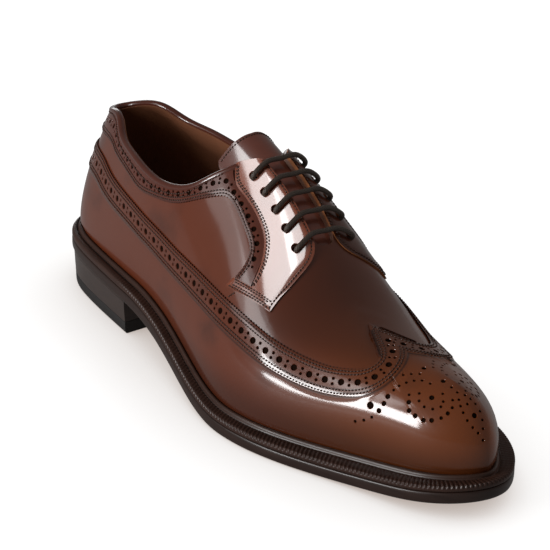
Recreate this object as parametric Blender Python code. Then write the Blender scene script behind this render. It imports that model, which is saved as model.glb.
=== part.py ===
"""Right derby shoe with a storm welt, a stacked heel and winged decoration.

The shoe stands on its sole, +X to the toe, +Y to the inner (medial) side, +Z up, with
the origin on the floor under the middle of the sole. Sizes are in millimetres until a
mesh is made.
"""
import math

import bmesh
import bpy
import numpy as np
from mathutils import Matrix, Vector

for thing in list(bpy.data.objects):
    bpy.data.objects.remove(thing, do_unlink=True)

# Driving sizes
MM = 0.001
GAP = 0.3
LENGTH = 300.0
TOE_DRIFT = 4.0
BREAST = 76.0
HEEL_LIFT = 17.5
SEAT_RISE = 2.0
TREAD_BACK = 178.0
TREAD_FRONT = 212.0
TOE_SPRING = 9.5
OUTSOLE_THICK = 5.7
WELT_THICK = 4.0
WELT_LEDGE = 4.0
INSOLE_THICK = 3.4
TOP_PIECE_THICK = 6.0
UPPER_WALL = 2.0
OVERLAY_GAP = 0.6
OVERLAY_THICK = 1.2
FACING_THICK = 1.7
FACING_TOP = OVERLAY_GAP + FACING_THICK
TONGUE_THICK = 2.0
TONGUE_DEPTH = 0.9
BEAD_CLEAR = 3.2
EYELET_WIDTH = 5.0
LACE_WIDTH = 2.5
LACE_CLEAR = 0.7
LACE_BEND = 0.045
LACE_POINTS = 9

# Fineness of the facets
HALF_COLUMNS = 36
COLUMN_APART = 0.3
HEEL_COLUMNS = 14
WING_RIDGE_COLUMNS = 8
WING_EDGE_COLUMNS = 30
TOE_CROWDING = 0.15
BAND_COLUMNS = 30
BAND_ROWS = 2
FACING_COLUMNS = 12
FACING_ROWS = 4
ROW_STEP = 0.06
PUNCH_SIDES = 10
PUNCH_DEPTH = 14.0
SHARP_FROM = 40.0
BEAD_SHARE_LIMIT = 0.3
HALVINGS = 30
FINE_STEPS = 400
SMALL = 1e-3

# Outline of the sole: station along the length, width to the outer and inner side
OUTLINE = (
    # station, lateral, medial
    (0.04, 25.5, 24.5),
    (0.12, 33.5, 33.5),
    (0.25, 38.0, 33.0),
    (0.36, 42.0, 30.5),
    (0.47, 49.0, 34.5),
    (0.57, 54.0, 43.5),
    (0.66, 51.5, 49.0),
    (0.75, 42.5, 48.5),
    (0.84, 32.5, 43.5),
    (0.92, 24.0, 33.0),
    (0.975, 12.5, 19.5),
)

# Width of the welt that stands out beyond the upper
REACH = (
    # station, reach
    (0.0, 4.2),
    (0.25, 7.0),
    (0.42, 7.0),
    (0.6, 7.5),
    (0.8, 9.5),
    (1.0, 8.0),
)

# Ridge of the last, from the back of the cone to the toe
RIDGE = (
    # x, height, sideways
    (26.0, 102.0, 0.0),
    (80.0, 122.0, 0.0),
    (120.0, 114.5, 2.0),
    (145.0, 103.0, 3.5),
    (170.0, 86.0, 3.5),
    (200.0, 62.5, -0.5),
    (230.0, 53.5, -1.5),
    (268.0, 50.5, 3.0),
)

# Section of the last: share of its height that stands upright, breadth of its crown, bulge
SECTION = (
    # station, upright, crown, bulge
    (0.0, 0.26, 14.0, 3.4),
    (0.15, 0.26, 18.0, 3.8),
    (0.30, 0.38, 25.0, 5.2),
    (0.45, 0.42, 22.0, 5.0),
    (0.60, 0.47, 24.0, 4.6),
    (0.80, 0.58, 22.0, 4.4),
    (1.0, 0.62, 13.5, 3.2),
)

# Collar line: share of the section, from feather to ridge, at which the wall ends
COLLAR = (
    # station, share
    (0.0, 0.695),
    (0.03, 0.695),
    (0.081, 0.651),
    (0.127, 0.571),
    (0.197, 0.506),
    (0.259, 0.470),
    (0.315, 0.473),
    (0.352, 0.509),
    (0.387, 0.582),
    (0.410, 0.664),
    (0.430, 0.746),
    (0.448, 0.833),
    (0.466, 0.905),
)
COLLAR_CORNERS = (0.430, 0.439, 0.448, 0.457)
UPPER_ROWS = (0.0, 0.15, 0.29, 0.41, 0.51, 0.60, 0.69, 0.79, 0.90, 1.0)
COLLAR_FRONT = 0.466
THROAT_FRONT = 0.632
SLOT_TOP = 0.905
SLOT_FOOT = 0.925

# Upper edge of the winged piece from its centre peak to the heel, and the foot of each rule
WING_EDGE = (
    # station, share, foot station
    (0.785, 1.0, 0.982),
    (0.812, 0.905, 0.968),
    (0.834, 0.790, 0.945),
    (0.817, 0.655, 0.905),
    (0.785, 0.578, 0.850),
    (0.752, 0.530, 0.797),
    (0.707, 0.488, 0.737),
    (0.658, 0.447, 0.675),
    (0.583, 0.407, 0.590),
    (0.496, 0.367, 0.500),
    (0.432, 0.338, 0.434),
    (0.367, 0.314, 0.367),
    (0.301, 0.311, 0.301),
    (0.246, 0.331, 0.240),
    (0.143, 0.400, 0.135),
    (0.066, 0.473, 0.060),
    (0.0, 0.515, 0.0),
)

WING_ROWS = (0.0, 0.13, 0.26, 0.39, 0.51, 0.63, 0.75, 0.87, 1.0)

# Punched band: lower and upper edge from the back of the heel to the foot of the tab
BAND = (
    # low station, low share, top station, top share
    (0.0, 0.565, 0.0, 0.710),
    (0.03, 0.560, 0.03, 0.710),
    (0.09, 0.529, 0.081, 0.666),
    (0.130, 0.485, 0.127, 0.586),
    (0.191, 0.433, 0.197, 0.521),
    (0.240, 0.395, 0.259, 0.485),
    (0.277, 0.389, 0.300, 0.485),
    (0.327, 0.416, 0.340, 0.512),
    (0.368, 0.466, 0.375, 0.568),
    (0.401, 0.532, 0.403, 0.650),
    (0.431, 0.598, 0.428, 0.738),
    (0.455, 0.640, 0.447, 0.714),
    (0.484, 0.638, 0.475, 0.706),
    (0.509, 0.624, 0.508, 0.707),
    (0.531, 0.609, 0.535, 0.699),
    (0.544, 0.580, 0.556, 0.678),
    (0.546, 0.529, 0.570, 0.632),
    (0.542, 0.490, 0.575, 0.575),
    (0.539, 0.464, 0.577, 0.519),
)

# Eyelet facing: rear and front edge from the collar to the tab
FACING = (
    # rear station, rear share, front station, front share
    (0.436, 0.775, 0.466, 0.905),
    (0.455, 0.722, 0.487, 0.907),
    (0.479, 0.715, 0.513, 0.911),
    (0.512, 0.716, 0.545, 0.915),
    (0.540, 0.707, 0.576, 0.919),
    (0.561, 0.684, 0.606, 0.922),
    (0.575, 0.638, 0.626, 0.910),
    (0.580, 0.600, 0.637, 0.865),
    (0.582, 0.560, 0.640, 0.790),
    (0.582, 0.522, 0.638, 0.687),
    (0.578, 0.488, 0.634, 0.600),
    (0.538, 0.446, 0.632, 0.556),
    (0.531, 0.417, 0.629, 0.514),
)

# Tongue: half width as a share of the section at each station
TONGUE = (
    # station, edge share
    (0.392, 0.735),
    (0.402, 0.712),
    (0.43, 0.70),
    (0.48, 0.70),
    (0.53, 0.71),
    (0.58, 0.73),
    (0.63, 0.76),
    (0.67, 0.80),
)
TONGUE_COLUMNS = 5
TONGUE_ROWS = 10

EYELET_PAIRS = 5
EYELET_FIRST = 0.474
EYELET_LAST = 0.608
EYELET_SHARE = 0.797

# Welt from its lower outer edge over the bead to its ledge: inset from the edge of the
# sole as a share of the reach and a size, and height over the outsole
WELT_PROFILE = (
    # reach share, inset, height
    (0.0, 0.3, 0.0),
    (0.0, 0.0, 2.7),
    (0.0, 0.6, 3.3),
    (1.0, -3.2, 3.3),
    (1.0, -2.7, 5.3),
    (1.0, -1.8, 6.4),
    (1.0, -0.4, WELT_THICK),
    (1.0, WELT_LEDGE, WELT_THICK),
    (1.0, WELT_LEDGE, 0.0),
)

# Side of the outsole and of the heel: inset from the edge of the sole and share of height
OUTSOLE_SIDE = ((0.9, 0.0), (0.0, 0.2), (0.0, 0.88), (0.4, 1.0))
HEEL_SIDE = ((1.6, 0.0), (0.9, 1.0))
TOP_PIECE_SIDE = ((2.6, 0.0), (1.9, 0.25), (1.7, 1.0))

# Colours with roughness
BROWN = ((0.145, 0.042, 0.018, 1.0), 0.28)
DARK_BROWN = ((0.075, 0.022, 0.012, 1.0), 0.30)
LINING_BROWN = ((0.16, 0.075, 0.04, 1.0), 0.60)
EDGE_BLACK = ((0.016, 0.011, 0.010, 1.0), 0.38)
RUBBER_BLACK = ((0.010, 0.009, 0.009, 1.0), 0.60)
LACE_BROWN = ((0.030, 0.020, 0.014, 1.0), 0.65)


def curve_through(xs, ys, closed=False):
    """Smooth cubic curve through the points, natural at its ends or closed."""
    xs = np.array(xs, float)
    ys = np.array(ys, float)
    steps = np.diff(xs)
    count = len(xs)
    pieces = count - 1
    size = pieces if closed else count
    matrix = np.eye(size)
    bend = np.zeros(size)
    slopes = np.diff(ys) / steps
    for i in range(0 if closed else 1, pieces):
        back, on = steps[i - 1], steps[i]
        matrix[i, i] = 2 * (back + on)
        matrix[i, i - 1] += back
        matrix[i, (i + 1) % size] += on
        bend[i] = 6 * (slopes[i] - slopes[i - 1])
    bends = np.linalg.solve(matrix, bend)
    if closed:
        bends = np.append(bends, bends[0])

    def value(x):
        x = np.asarray(x, float)
        if closed:
            x = xs[0] + np.mod(x - xs[0], xs[-1] - xs[0])
        k = np.clip(np.searchsorted(xs, x, side="right") - 1, 0, pieces - 1)
        a = (xs[k + 1] - x) / steps[k]
        b = 1 - a
        sag = ((a ** 3 - a) * bends[k] + (b ** 3 - b) * bends[k + 1]) * steps[k] ** 2 / 6
        return a * ys[k] + b * ys[k + 1] + sag

    return value


def angle(station):
    """Angle round the sole at a station: 0 at the heel, pi at the toe."""
    return math.acos(1 - 2 * station)


def column(table, key, place):
    """Smooth curve of one column of a table over its first, by angle or by plain value."""
    return curve_through([place(row[0]) for row in table], [row[key] for row in table])


def sole_edge():
    """Sideways place of the sole's edge, round the sole by its outer side."""
    lateral = [(angle(s), -out) for s, out, _ in OUTLINE]
    medial = [(2 * math.pi - angle(s), side) for s, _, side in reversed(OUTLINE)]
    rows = [(0.0, 0.0)] + lateral + [(math.pi, TOE_DRIFT)] + medial + [(2 * math.pi, 0.0)]
    return curve_through([a for a, _ in rows], [y for _, y in rows], closed=True)


edge_y = sole_edge()
reach_at = column(REACH, 1, angle)
ridge_z = column(RIDGE, 1, float)
ridge_y = column(RIDGE, 2, float)
upright_at = column(SECTION, 1, angle)
crown_at = column(SECTION, 2, angle)
bulge_at = column(SECTION, 3, angle)
collar_at = column(COLLAR, 1, angle)


def fold(a):
    """Angle from the heel, the same on both sides."""
    return np.where(a > math.pi, 2 * math.pi - a, a)


def edge_x(a):
    return LENGTH / 2 * (1 - np.cos(a))


def rim(a, inset):
    """Plan point of the sole's edge moved in by inset, and the way out from it."""
    step = SMALL
    dx = edge_x(a + step) - edge_x(a - step)
    dy = edge_y(a + step) - edge_y(a - step)
    run = np.hypot(dx, dy)
    out_x = dy / run
    out_y = -dx / run
    return edge_x(a) - out_x * inset, edge_y(a) - out_y * inset, out_x, out_y


def tread_z(x):
    """Underside of the outsole: heel seat, arch, flat tread and toe spring."""
    arch = np.clip((TREAD_BACK - x) / (TREAD_BACK - BREAST), 0, 1)
    seat = np.clip((BREAST - x) / BREAST, 0, 1)
    toe = np.clip((x - TREAD_FRONT) / (LENGTH - TREAD_FRONT), 0, None)
    return HEEL_LIFT * arch * arch * (3 - 2 * arch) + SEAT_RISE * seat + TOE_SPRING * toe * toe


def outsole_top(x):
    return tread_z(x) + OUTSOLE_THICK


def welt_foot(x):
    return outsole_top(x) + GAP


def feather_z(x):
    return welt_foot(x) + WELT_THICK + GAP


def last(a, t, d):
    """Point of the last: a round the sole, t from feather to ridge, d outwards."""
    a = np.asarray(a, float)
    t = np.asarray(t, float)
    f = fold(a)
    foot_x, foot_y, out_x, out_y = rim(a, reach_at(f) - d)
    foot_z = feather_z(foot_x)
    back, front = RIDGE[0][0], RIDGE[-1][0]
    top_x = back + (front - back) * (1 - np.cos(f)) / 2
    top_y = ridge_y(top_x)
    top_z = ridge_z(top_x) + d
    fall = ridge_z(top_x + 0.5) - ridge_z(top_x - 0.5)
    bulge = bulge_at(f)
    side_x = foot_x + out_x * bulge
    side_y = foot_y + out_y * bulge
    side_z = foot_z + upright_at(f) * (top_z - foot_z)
    share = crown_at(f) / np.hypot(foot_x - top_x, foot_y - top_y)
    crown_x = top_x + share * (foot_x - top_x)
    crown_y = top_y + share * (foot_y - top_y)
    crown_z = top_z + fall * (crown_x - top_x)
    b0, b1, b2, b3 = (1 - t) ** 3, 3 * t * (1 - t) ** 2, 3 * t * t * (1 - t), t ** 3
    x = b0 * foot_x + b1 * side_x + b2 * crown_x + b3 * top_x
    y = b0 * foot_y + b1 * side_y + b2 * crown_y + b3 * top_y
    z = b0 * foot_z + b1 * side_z + b2 * crown_z + b3 * top_z
    return np.stack([x, y, z], axis=-1)


def wall_end(a):
    """Share of the section at which the upper ends: collar, throat slot or ridge."""
    f = float(fold(a))
    if f <= angle(COLLAR_FRONT):
        return float(collar_at(f))
    if f < angle(THROAT_FRONT):
        along = (f - angle(COLLAR_FRONT)) / (angle(THROAT_FRONT) - angle(COLLAR_FRONT))
        return SLOT_TOP + (SLOT_FOOT - SLOT_TOP) * along
    return 1.0


def bead_share(a):
    """Share of the section that lies behind the bead of the welt."""
    low, high = 0.0, BEAD_SHARE_LIMIT
    for _ in range(HALVINGS):
        middle = (low + high) / 2
        x, _, z = last(a, middle, 0.0)
        if z - feather_z(x) < BEAD_CLEAR:
            low = middle
        else:
            high = middle
    return high


def half_angles(extra=()):
    """Even angles from heel to toe, with extra ones in place of any too close to them."""
    even = [math.pi * k / HALF_COLUMNS for k in range(HALF_COLUMNS + 1)]
    apart = COLUMN_APART * math.pi / HALF_COLUMNS
    kept = [a for a in even if all(abs(a - e) > apart for e in extra)]
    return sorted(kept + list(extra))


def both_sides(angles):
    """Angles round the whole shoe, the inner side mirrored from the outer."""
    return angles + [2 * math.pi - a for a in reversed(angles[:-1])]


sides = edge_y(both_sides(half_angles()))
CENTRE = np.array([LENGTH / 2, (sides.max() + sides.min()) / 2, 0.0])


def placed(points):
    """Points in metres about the origin under the middle of the sole."""
    return (np.asarray(points, float) - CENTRE) * MM


def finish(name, look):
    """Material named for its piece, with a colour and a roughness."""
    colour, roughness = look
    material = bpy.data.materials.new(name)
    material.use_nodes = True
    surface = material.node_tree.nodes["Principled BSDF"]
    surface.inputs["Base Color"].default_value = colour
    surface.inputs["Roughness"].default_value = roughness
    surface.inputs["Metallic"].default_value = 0.0
    return material


def solid(name, points, faces, look):
    """Named object from points in millimetres and faces that close it."""
    form = bmesh.new()
    corners = [form.verts.new(p) for p in placed(points)]
    for face in faces:
        form.faces.new([corners[i] for i in face])
    bmesh.ops.recalc_face_normals(form, faces=form.faces)
    mesh = bpy.data.meshes.new(name)
    form.to_mesh(mesh)
    form.free()
    mesh.shade_smooth()
    mesh.set_sharp_from_angle(angle=math.radians(SHARP_FROM))
    mesh.materials.append(finish(name, look))
    piece = bpy.data.objects.new(name, mesh)
    bpy.context.collection.objects.link(piece)
    return piece


def halved(ring, points):
    """A face of four corners as two triangles, cut along its shorter diagonal."""
    if len(ring) < 4:
        return [ring]
    p, q, r, s = ring
    if np.linalg.norm(points[p] - points[r]) < np.linalg.norm(points[q] - points[s]):
        return [[p, q, r], [p, r, s]]
    return [[p, q, s], [q, r, s]]


def shell(name, strips, inner, outer, look):
    """Closed wall between two offsets of the last, over strips of (angle, share) nodes.

    Nodes on the ridge are the same from both sides, and so are those at the heel.
    """
    order = {}

    def node(a, t):
        a = a % (2 * math.pi)
        if t >= 1.0 and a > math.pi:
            a = 2 * math.pi - a
        return order.setdefault((round(a, 6) % round(2 * math.pi, 6), round(t, 6)), len(order))

    rings = []
    for low, high in zip(strips, strips[1:]):
        for k in range(len(low) - 1):
            corners = (low[k], low[k + 1], high[k + 1], high[k])
            ring = list(dict.fromkeys(node(*corner) for corner in corners))
            if len(ring) > 2:
                rings.append(ring)
    a, t = np.array(list(order)).T
    points = np.concatenate([last(a, t, outer), last(a, t, inner)])
    sheet = [half for ring in rings for half in halved(ring, points)]
    under = len(order)
    edges = {(u, v) for ring in sheet for u, v in zip(ring, ring[1:] + ring[:1])}
    brim = [(v, u, u + under, v + under) for u, v in sorted(edges) if (v, u) not in edges]
    back = [tuple(i + under for i in reversed(ring)) for ring in sheet]
    return solid(name, points, sheet + back + brim, look)


def slab(name, angles, levels, look, front=None):
    """Solid across the sole between stacked outlines, each an inset and a height over x."""
    inner = angles[1:-1] if angles[-1] >= math.pi else angles[1:]
    ring = angles + [2 * math.pi - a for a in reversed(inner)]
    points = []
    for inset_at, height_at in levels:
        for a in ring:
            x, y, _, _ = rim(a, inset_at(float(fold(a))))
            if front is not None:
                x = min(x, front)
            points.append((x, y, float(height_at(x))))
    size = len(ring)
    faces = []
    for level in range(len(levels) - 1):
        base = level * size
        for k in range(size):
            on = (k + 1) % size
            faces.append((base + k, base + on, base + size + on, base + size + k))
    for base in (0, (len(levels) - 1) * size):
        for k in range(len(angles) - 1):
            across = [k, k + 1, (size - k - 1) % size, (size - k) % size]
            faces.append([base + i for i in dict.fromkeys(across)])
    return solid(name, points, faces, look)


def make_outsole():
    """One leather layer, trimmed to a rounded edge."""
    levels = [(lambda f, i=inset: i, lambda x, s=share: tread_z(x) + OUTSOLE_THICK * s)
              for inset, share in OUTSOLE_SIDE]
    slab("outsole", half_angles(), levels, EDGE_BLACK)


def make_heel():
    """Block of lifts under the seat, on a top piece that stands on the floor."""
    angles = list(np.linspace(0.0, angle(BREAST / LENGTH), HEEL_COLUMNS + 1))
    block_foot = TOP_PIECE_THICK + GAP
    block = [(lambda f, i=inset: i,
              lambda x, s=share: block_foot + (tread_z(x) - GAP - block_foot) * s)
             for inset, share in HEEL_SIDE]
    slab("heel_stack", angles, block, EDGE_BLACK, front=BREAST)
    piece = [(lambda f, i=inset: i, lambda x, s=share: TOP_PIECE_THICK * s)
             for inset, share in TOP_PIECE_SIDE]
    slab("top_piece", angles, piece, RUBBER_BLACK, front=BREAST)


def make_welt():
    """Ring all round the shoe, with a bead standing up against the upper."""
    ring = both_sides(half_angles())[:-1]
    points = []
    for a in ring:
        reach = float(reach_at(float(fold(a))))
        for share, inset, height in WELT_PROFILE:
            x, y, _, _ = rim(a, share * reach + inset)
            points.append((x, y, float(welt_foot(x)) + height))
    size = len(WELT_PROFILE)
    faces = []
    for k in range(len(ring)):
        base = k * size
        on = (k + 1) % len(ring) * size
        for i in range(size):
            j = (i + 1) % size
            faces.append((base + i, base + j, on + j, on + i))
    solid("welt", points, faces, EDGE_BLACK)


def make_insole():
    """Board inside the ring of the welt."""
    def inset(f):
        return float(reach_at(f)) + WELT_LEDGE + GAP

    levels = [(inset, welt_foot), (inset, lambda x: welt_foot(x) + INSOLE_THICK)]
    slab("insole", half_angles(), levels, LINING_BROWN)


def make_upper():
    """Vamp and quarters as one wall, open at collar, throat and underneath."""
    corners = [angle(s) for s in (*COLLAR_CORNERS, COLLAR_FRONT, THROAT_FRONT)]
    ring = both_sides(half_angles(corners))
    ends = [wall_end(a) for a in ring]
    strips = [[(a, end * row) for a, end in zip(ring, ends)] for row in UPPER_ROWS]
    return shell("upper", strips, -UPPER_WALL, 0.0, BROWN)


def between(low, high, shares):
    """Nodes at the given shares of the straight rule between two nodes of the last."""
    return [(low[0] + (high[0] - low[0]) * s, low[1] + (high[1] - low[1]) * s) for s in shares]


def table_curves(table, places):
    """Smooth curves of a table's columns over its row number, stations made angles."""
    rows = range(len(table))
    return [curve_through(rows, [angle(row[k]) if k in places else row[k] for row in table])
            for k in range(len(table[0]))]


def even_rows(curve, rows, steps):
    """Row numbers of a table at which one of its curves has moved on by even steps."""
    fine = np.linspace(0, rows - 1, FINE_STEPS)
    run = np.concatenate([[0.0], np.cumsum(np.abs(np.diff(curve(fine))))])
    return np.interp(np.linspace(0, run[-1], steps + 1), run, fine)


def mirrored(strips):
    """The same strips on the inner side, in reverse order."""
    return [[(2 * math.pi - a, t) for a, t in strip] for strip in reversed(strips)]


def make_wing():
    """Winged toe piece, ruled from the bead of the welt to its upper edge."""
    station, share, foot = table_curves(WING_EDGE, (0, 2))
    peak, peak_foot = WING_EDGE[0][0], WING_EDGE[0][2]
    rules = []
    for k in range(WING_RIDGE_COLUMNS):
        part = k / WING_RIDGE_COLUMNS
        top = (angle(1.0 + (peak - 1.0) * part), 1.0)
        rules.append((math.pi + (angle(peak_foot) - math.pi) * part, top))
    def crowded(row):
        return foot(row) + TOE_CROWDING * foot(row) ** 2

    for row in even_rows(crowded, len(WING_EDGE), WING_EDGE_COLUMNS):
        top = (max(0.0, float(station(row))), min(1.0, float(share(row))))
        rules.append((max(0.0, float(foot(row))), top))
    lateral = [between((a, bead_share(a)), top, WING_ROWS) for a, top in rules]
    strips = mirrored(lateral)[:-1] + lateral
    shell("wing", strips, OVERLAY_GAP, OVERLAY_GAP + OVERLAY_THICK, BROWN)


def ruled_half(table, columns, rows):
    """Strips ruled between the two edges of a table, kept below the end of the wall."""
    low_a, low_t, top_a, top_t = table_curves(table, (0, 2))
    strips = []
    for row in even_rows(lambda r: top_a(r) + r * ROW_STEP, len(table), columns):
        low = (max(0.0, float(low_a(row))), float(low_t(row)))
        high = (max(0.0, float(top_a(row))), float(top_t(row)))
        high = (high[0], min(high[1], wall_end(high[0])))
        strips.append(between(low, high, np.linspace(0, 1, rows + 1)))
    return strips


def make_band():
    """Punched band round the collar, turned down behind both facings."""
    lateral = ruled_half(BAND, BAND_COLUMNS, BAND_ROWS)
    strips = mirrored(lateral)[:-1] + lateral
    shell("collar_band", strips, OVERLAY_GAP, OVERLAY_GAP + OVERLAY_THICK, DARK_BROWN)


def make_facings():
    """Eyelet facings with a tab at the foot, one on each side of the throat."""
    lateral = ruled_half(FACING, FACING_COLUMNS, FACING_ROWS)
    return (shell("facing_lateral", lateral, OVERLAY_GAP, FACING_TOP, BROWN),
            shell("facing_medial", mirrored(lateral), OVERLAY_GAP, FACING_TOP, BROWN))


def make_tongue():
    """Leather tongue under the facings, standing above them at the collar."""
    along, edge = table_curves(TONGUE, (0,))
    strips = []
    for row in np.linspace(0, len(TONGUE) - 1, TONGUE_ROWS):
        a = float(along(row))
        half = between((a, float(edge(row))), (a, 1.0), np.linspace(0, 1, TONGUE_COLUMNS + 1))
        strips.append(half + [(2 * math.pi - a, t) for a, t in reversed(half)][1:])
    outer = -UPPER_WALL - TONGUE_DEPTH
    shell("tongue", strips, outer - TONGUE_THICK, outer, BROWN)


def eyelet_angles():
    first, final = angle(EYELET_FIRST), angle(EYELET_LAST)
    return [first + (final - first) * k / (EYELET_PAIRS - 1) for k in range(EYELET_PAIRS)]


def way_out(a, t):
    """Unit vector square to the last."""
    step = SMALL
    along = last(a + step, t, 0.0) - last(a - step, t, 0.0)
    up = last(a, t + step, 0.0) - last(a, t - step, 0.0)
    out = np.cross(along, up)
    out /= np.linalg.norm(out)
    return out if np.dot(out, last(a, t, 1.0) - last(a, t, 0.0)) > 0 else -out


def above(a, t, height):
    """Point squarely above the last."""
    return last(a, t, 0.0) + way_out(a, t) * height


def punch_eyelets(pieces):
    """Ten holes through the facings and the wall under them."""
    form = bmesh.new()
    for lateral in eyelet_angles():
        for a in (lateral, 2 * math.pi - lateral):
            centre = Vector(placed(last(a, EYELET_SHARE, 0.0)))
            turn = Vector(way_out(a, EYELET_SHARE)).to_track_quat("Z", "Y").to_matrix().to_4x4()
            bmesh.ops.create_cone(
                form, cap_ends=True, segments=PUNCH_SIDES, radius1=EYELET_WIDTH / 2 * MM,
                radius2=EYELET_WIDTH / 2 * MM, depth=PUNCH_DEPTH * MM,
                matrix=Matrix.Translation(centre) @ turn)
    mesh = bpy.data.meshes.new("eyelet_punch")
    form.to_mesh(mesh)
    form.free()
    punch = bpy.data.objects.new("eyelet_punch", mesh)
    bpy.context.collection.objects.link(punch)
    punch.hide_render = True
    punch.display_type = "WIRE"
    for piece in pieces:
        cut = piece.modifiers.new("eyelets", "BOOLEAN")
        cut.operation = "DIFFERENCE"
        cut.solver = "EXACT"
        cut.object = punch


def make_lace():
    """Five straight bars that dip into the eyelets at both ends."""
    radius = LACE_WIDTH / 2
    over = FACING_TOP + radius + LACE_CLEAR
    for number, a in enumerate(eyelet_angles(), start=1):
        def half(side):
            inside = above(side, EYELET_SHARE, GAP)
            mouth = above(side, EYELET_SHARE, FACING_TOP + LACE_CLEAR)
            bend = above(side, EYELET_SHARE + LACE_BEND, over)
            edge = above(side, wall_end(side), over)
            return [inside, mouth, bend, edge]

        lateral = half(a)
        medial = half(2 * math.pi - a)
        route = np.array(lateral + [(lateral[-1] + medial[-1]) / 2] + medial[::-1])
        marks = np.concatenate([[0.0], np.cumsum(np.linalg.norm(np.diff(route, axis=0), axis=1))])
        smooth = [curve_through(marks, route[:, k]) for k in range(3)]
        stops = np.linspace(0.0, marks[-1], LACE_POINTS)
        points = placed(np.stack([line(stops) for line in smooth], axis=-1))
        path = bpy.data.curves.new(f"lace_bar_{number}", "CURVE")
        path.dimensions = "3D"
        path.bevel_depth = radius * MM
        path.bevel_resolution = 2
        path.use_fill_caps = True
        spline = path.splines.new("POLY")
        spline.points.add(len(points) - 1)
        for spot, point in zip(spline.points, points):
            spot.co = (*point, 1.0)
        path.materials.append(finish(path.name, LACE_BROWN))
        bar = bpy.data.objects.new(f"lace_bar_{number}", path)
        bpy.context.collection.objects.link(bar)


make_outsole()
make_heel()
make_welt()
make_insole()
upper = make_upper()
make_wing()
make_band()
facings = make_facings()
make_tongue()
punch_eyelets([upper, *facings])
make_lace()
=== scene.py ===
"""Looks of a right derby shoe: leathers, stitches, punched holes, welt, sole, heel and lace.

Sizes are in millimetres in the shoemaker's frame, back of the heel at x = 0 and toe at
x = 300, until placed() turns them into metres about the middle of the sole.
"""

import math

import bpy
import numpy as np
from mathutils import Matrix, Vector
from mathutils.kdtree import KDTree


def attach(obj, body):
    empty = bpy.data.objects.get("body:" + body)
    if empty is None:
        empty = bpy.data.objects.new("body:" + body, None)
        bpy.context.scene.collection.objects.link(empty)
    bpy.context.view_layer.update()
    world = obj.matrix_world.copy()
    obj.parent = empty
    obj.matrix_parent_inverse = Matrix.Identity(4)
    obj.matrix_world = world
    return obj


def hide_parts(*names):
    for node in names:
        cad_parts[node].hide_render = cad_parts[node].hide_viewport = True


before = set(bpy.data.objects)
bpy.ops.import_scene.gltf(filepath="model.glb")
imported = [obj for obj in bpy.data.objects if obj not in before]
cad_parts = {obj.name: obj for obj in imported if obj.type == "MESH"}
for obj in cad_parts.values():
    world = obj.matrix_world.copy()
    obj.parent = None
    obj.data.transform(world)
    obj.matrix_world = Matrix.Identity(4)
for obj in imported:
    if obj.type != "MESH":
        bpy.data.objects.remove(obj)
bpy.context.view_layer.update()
bpy.ops.object.select_all(action="DESELECT")

# Upper
# Vamp and quarters of brown polished calf, lined with smooth brown leather. They are
# pulled over the last as one wall, open at the collar and along the throat.
MM = 0.001
SMALL = 1e-3
WELD = 0.01
CENTRE = np.array([150.0, -2.38073562, 0.0])
LENGTH = 300.0
TOE_DRIFT = 4.0
BREAST = 76.0
HEEL_LIFT = 17.5
SEAT_RISE = 2.0
TREAD_BACK = 178.0
TREAD_FRONT = 212.0
TOE_SPRING = 9.5
OUTSOLE_THICK = 5.7
WELT_THICK = 4.0
GAP = 0.3
OUTLINE = (
    # station, lateral, medial
    (0.04, 25.5, 24.5), (0.12, 33.5, 33.5), (0.25, 38.0, 33.0), (0.36, 42.0, 30.5),
    (0.47, 49.0, 34.5), (0.57, 54.0, 43.5), (0.66, 51.5, 49.0), (0.75, 42.5, 48.5),
    (0.84, 32.5, 43.5), (0.92, 24.0, 33.0), (0.975, 12.5, 19.5),
)
REACH = ((0.0, 4.2), (0.25, 7.0), (0.42, 7.0), (0.6, 7.5), (0.8, 9.5), (1.0, 8.0))
RIDGE = (
    # x, height, sideways
    (26.0, 102.0, 0.0), (80.0, 122.0, 0.0), (120.0, 114.5, 2.0), (145.0, 103.0, 3.5),
    (170.0, 86.0, 3.5), (200.0, 62.5, -0.5), (230.0, 53.5, -1.5), (268.0, 50.5, 3.0),
)
SECTION = (
    # station, upright, crown, bulge
    (0.0, 0.26, 14.0, 3.4), (0.15, 0.26, 18.0, 3.8), (0.30, 0.38, 25.0, 5.2),
    (0.45, 0.42, 22.0, 5.0), (0.60, 0.47, 24.0, 4.6), (0.80, 0.58, 22.0, 4.4),
    (1.0, 0.62, 13.5, 3.2),
)
COLLAR = (
    # station, share
    (0.0, 0.695), (0.03, 0.695), (0.081, 0.651), (0.127, 0.571), (0.197, 0.506),
    (0.259, 0.470), (0.315, 0.473), (0.352, 0.509), (0.387, 0.582), (0.410, 0.664),
    (0.430, 0.746), (0.448, 0.833), (0.466, 0.905),
)
COLLAR_FRONT = 0.466
THROAT_FRONT = 0.632
ROUND_FROM = 0.608
SLOT_TOP = 0.905
SLOT_FOOT = 0.925
UPPER_WALL = 2.0
UPPER_TOP = 0.5
UPPER_COLUMNS = 170
UPPER_ROWS = 44
THROAT_COLUMNS = 14


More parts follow.
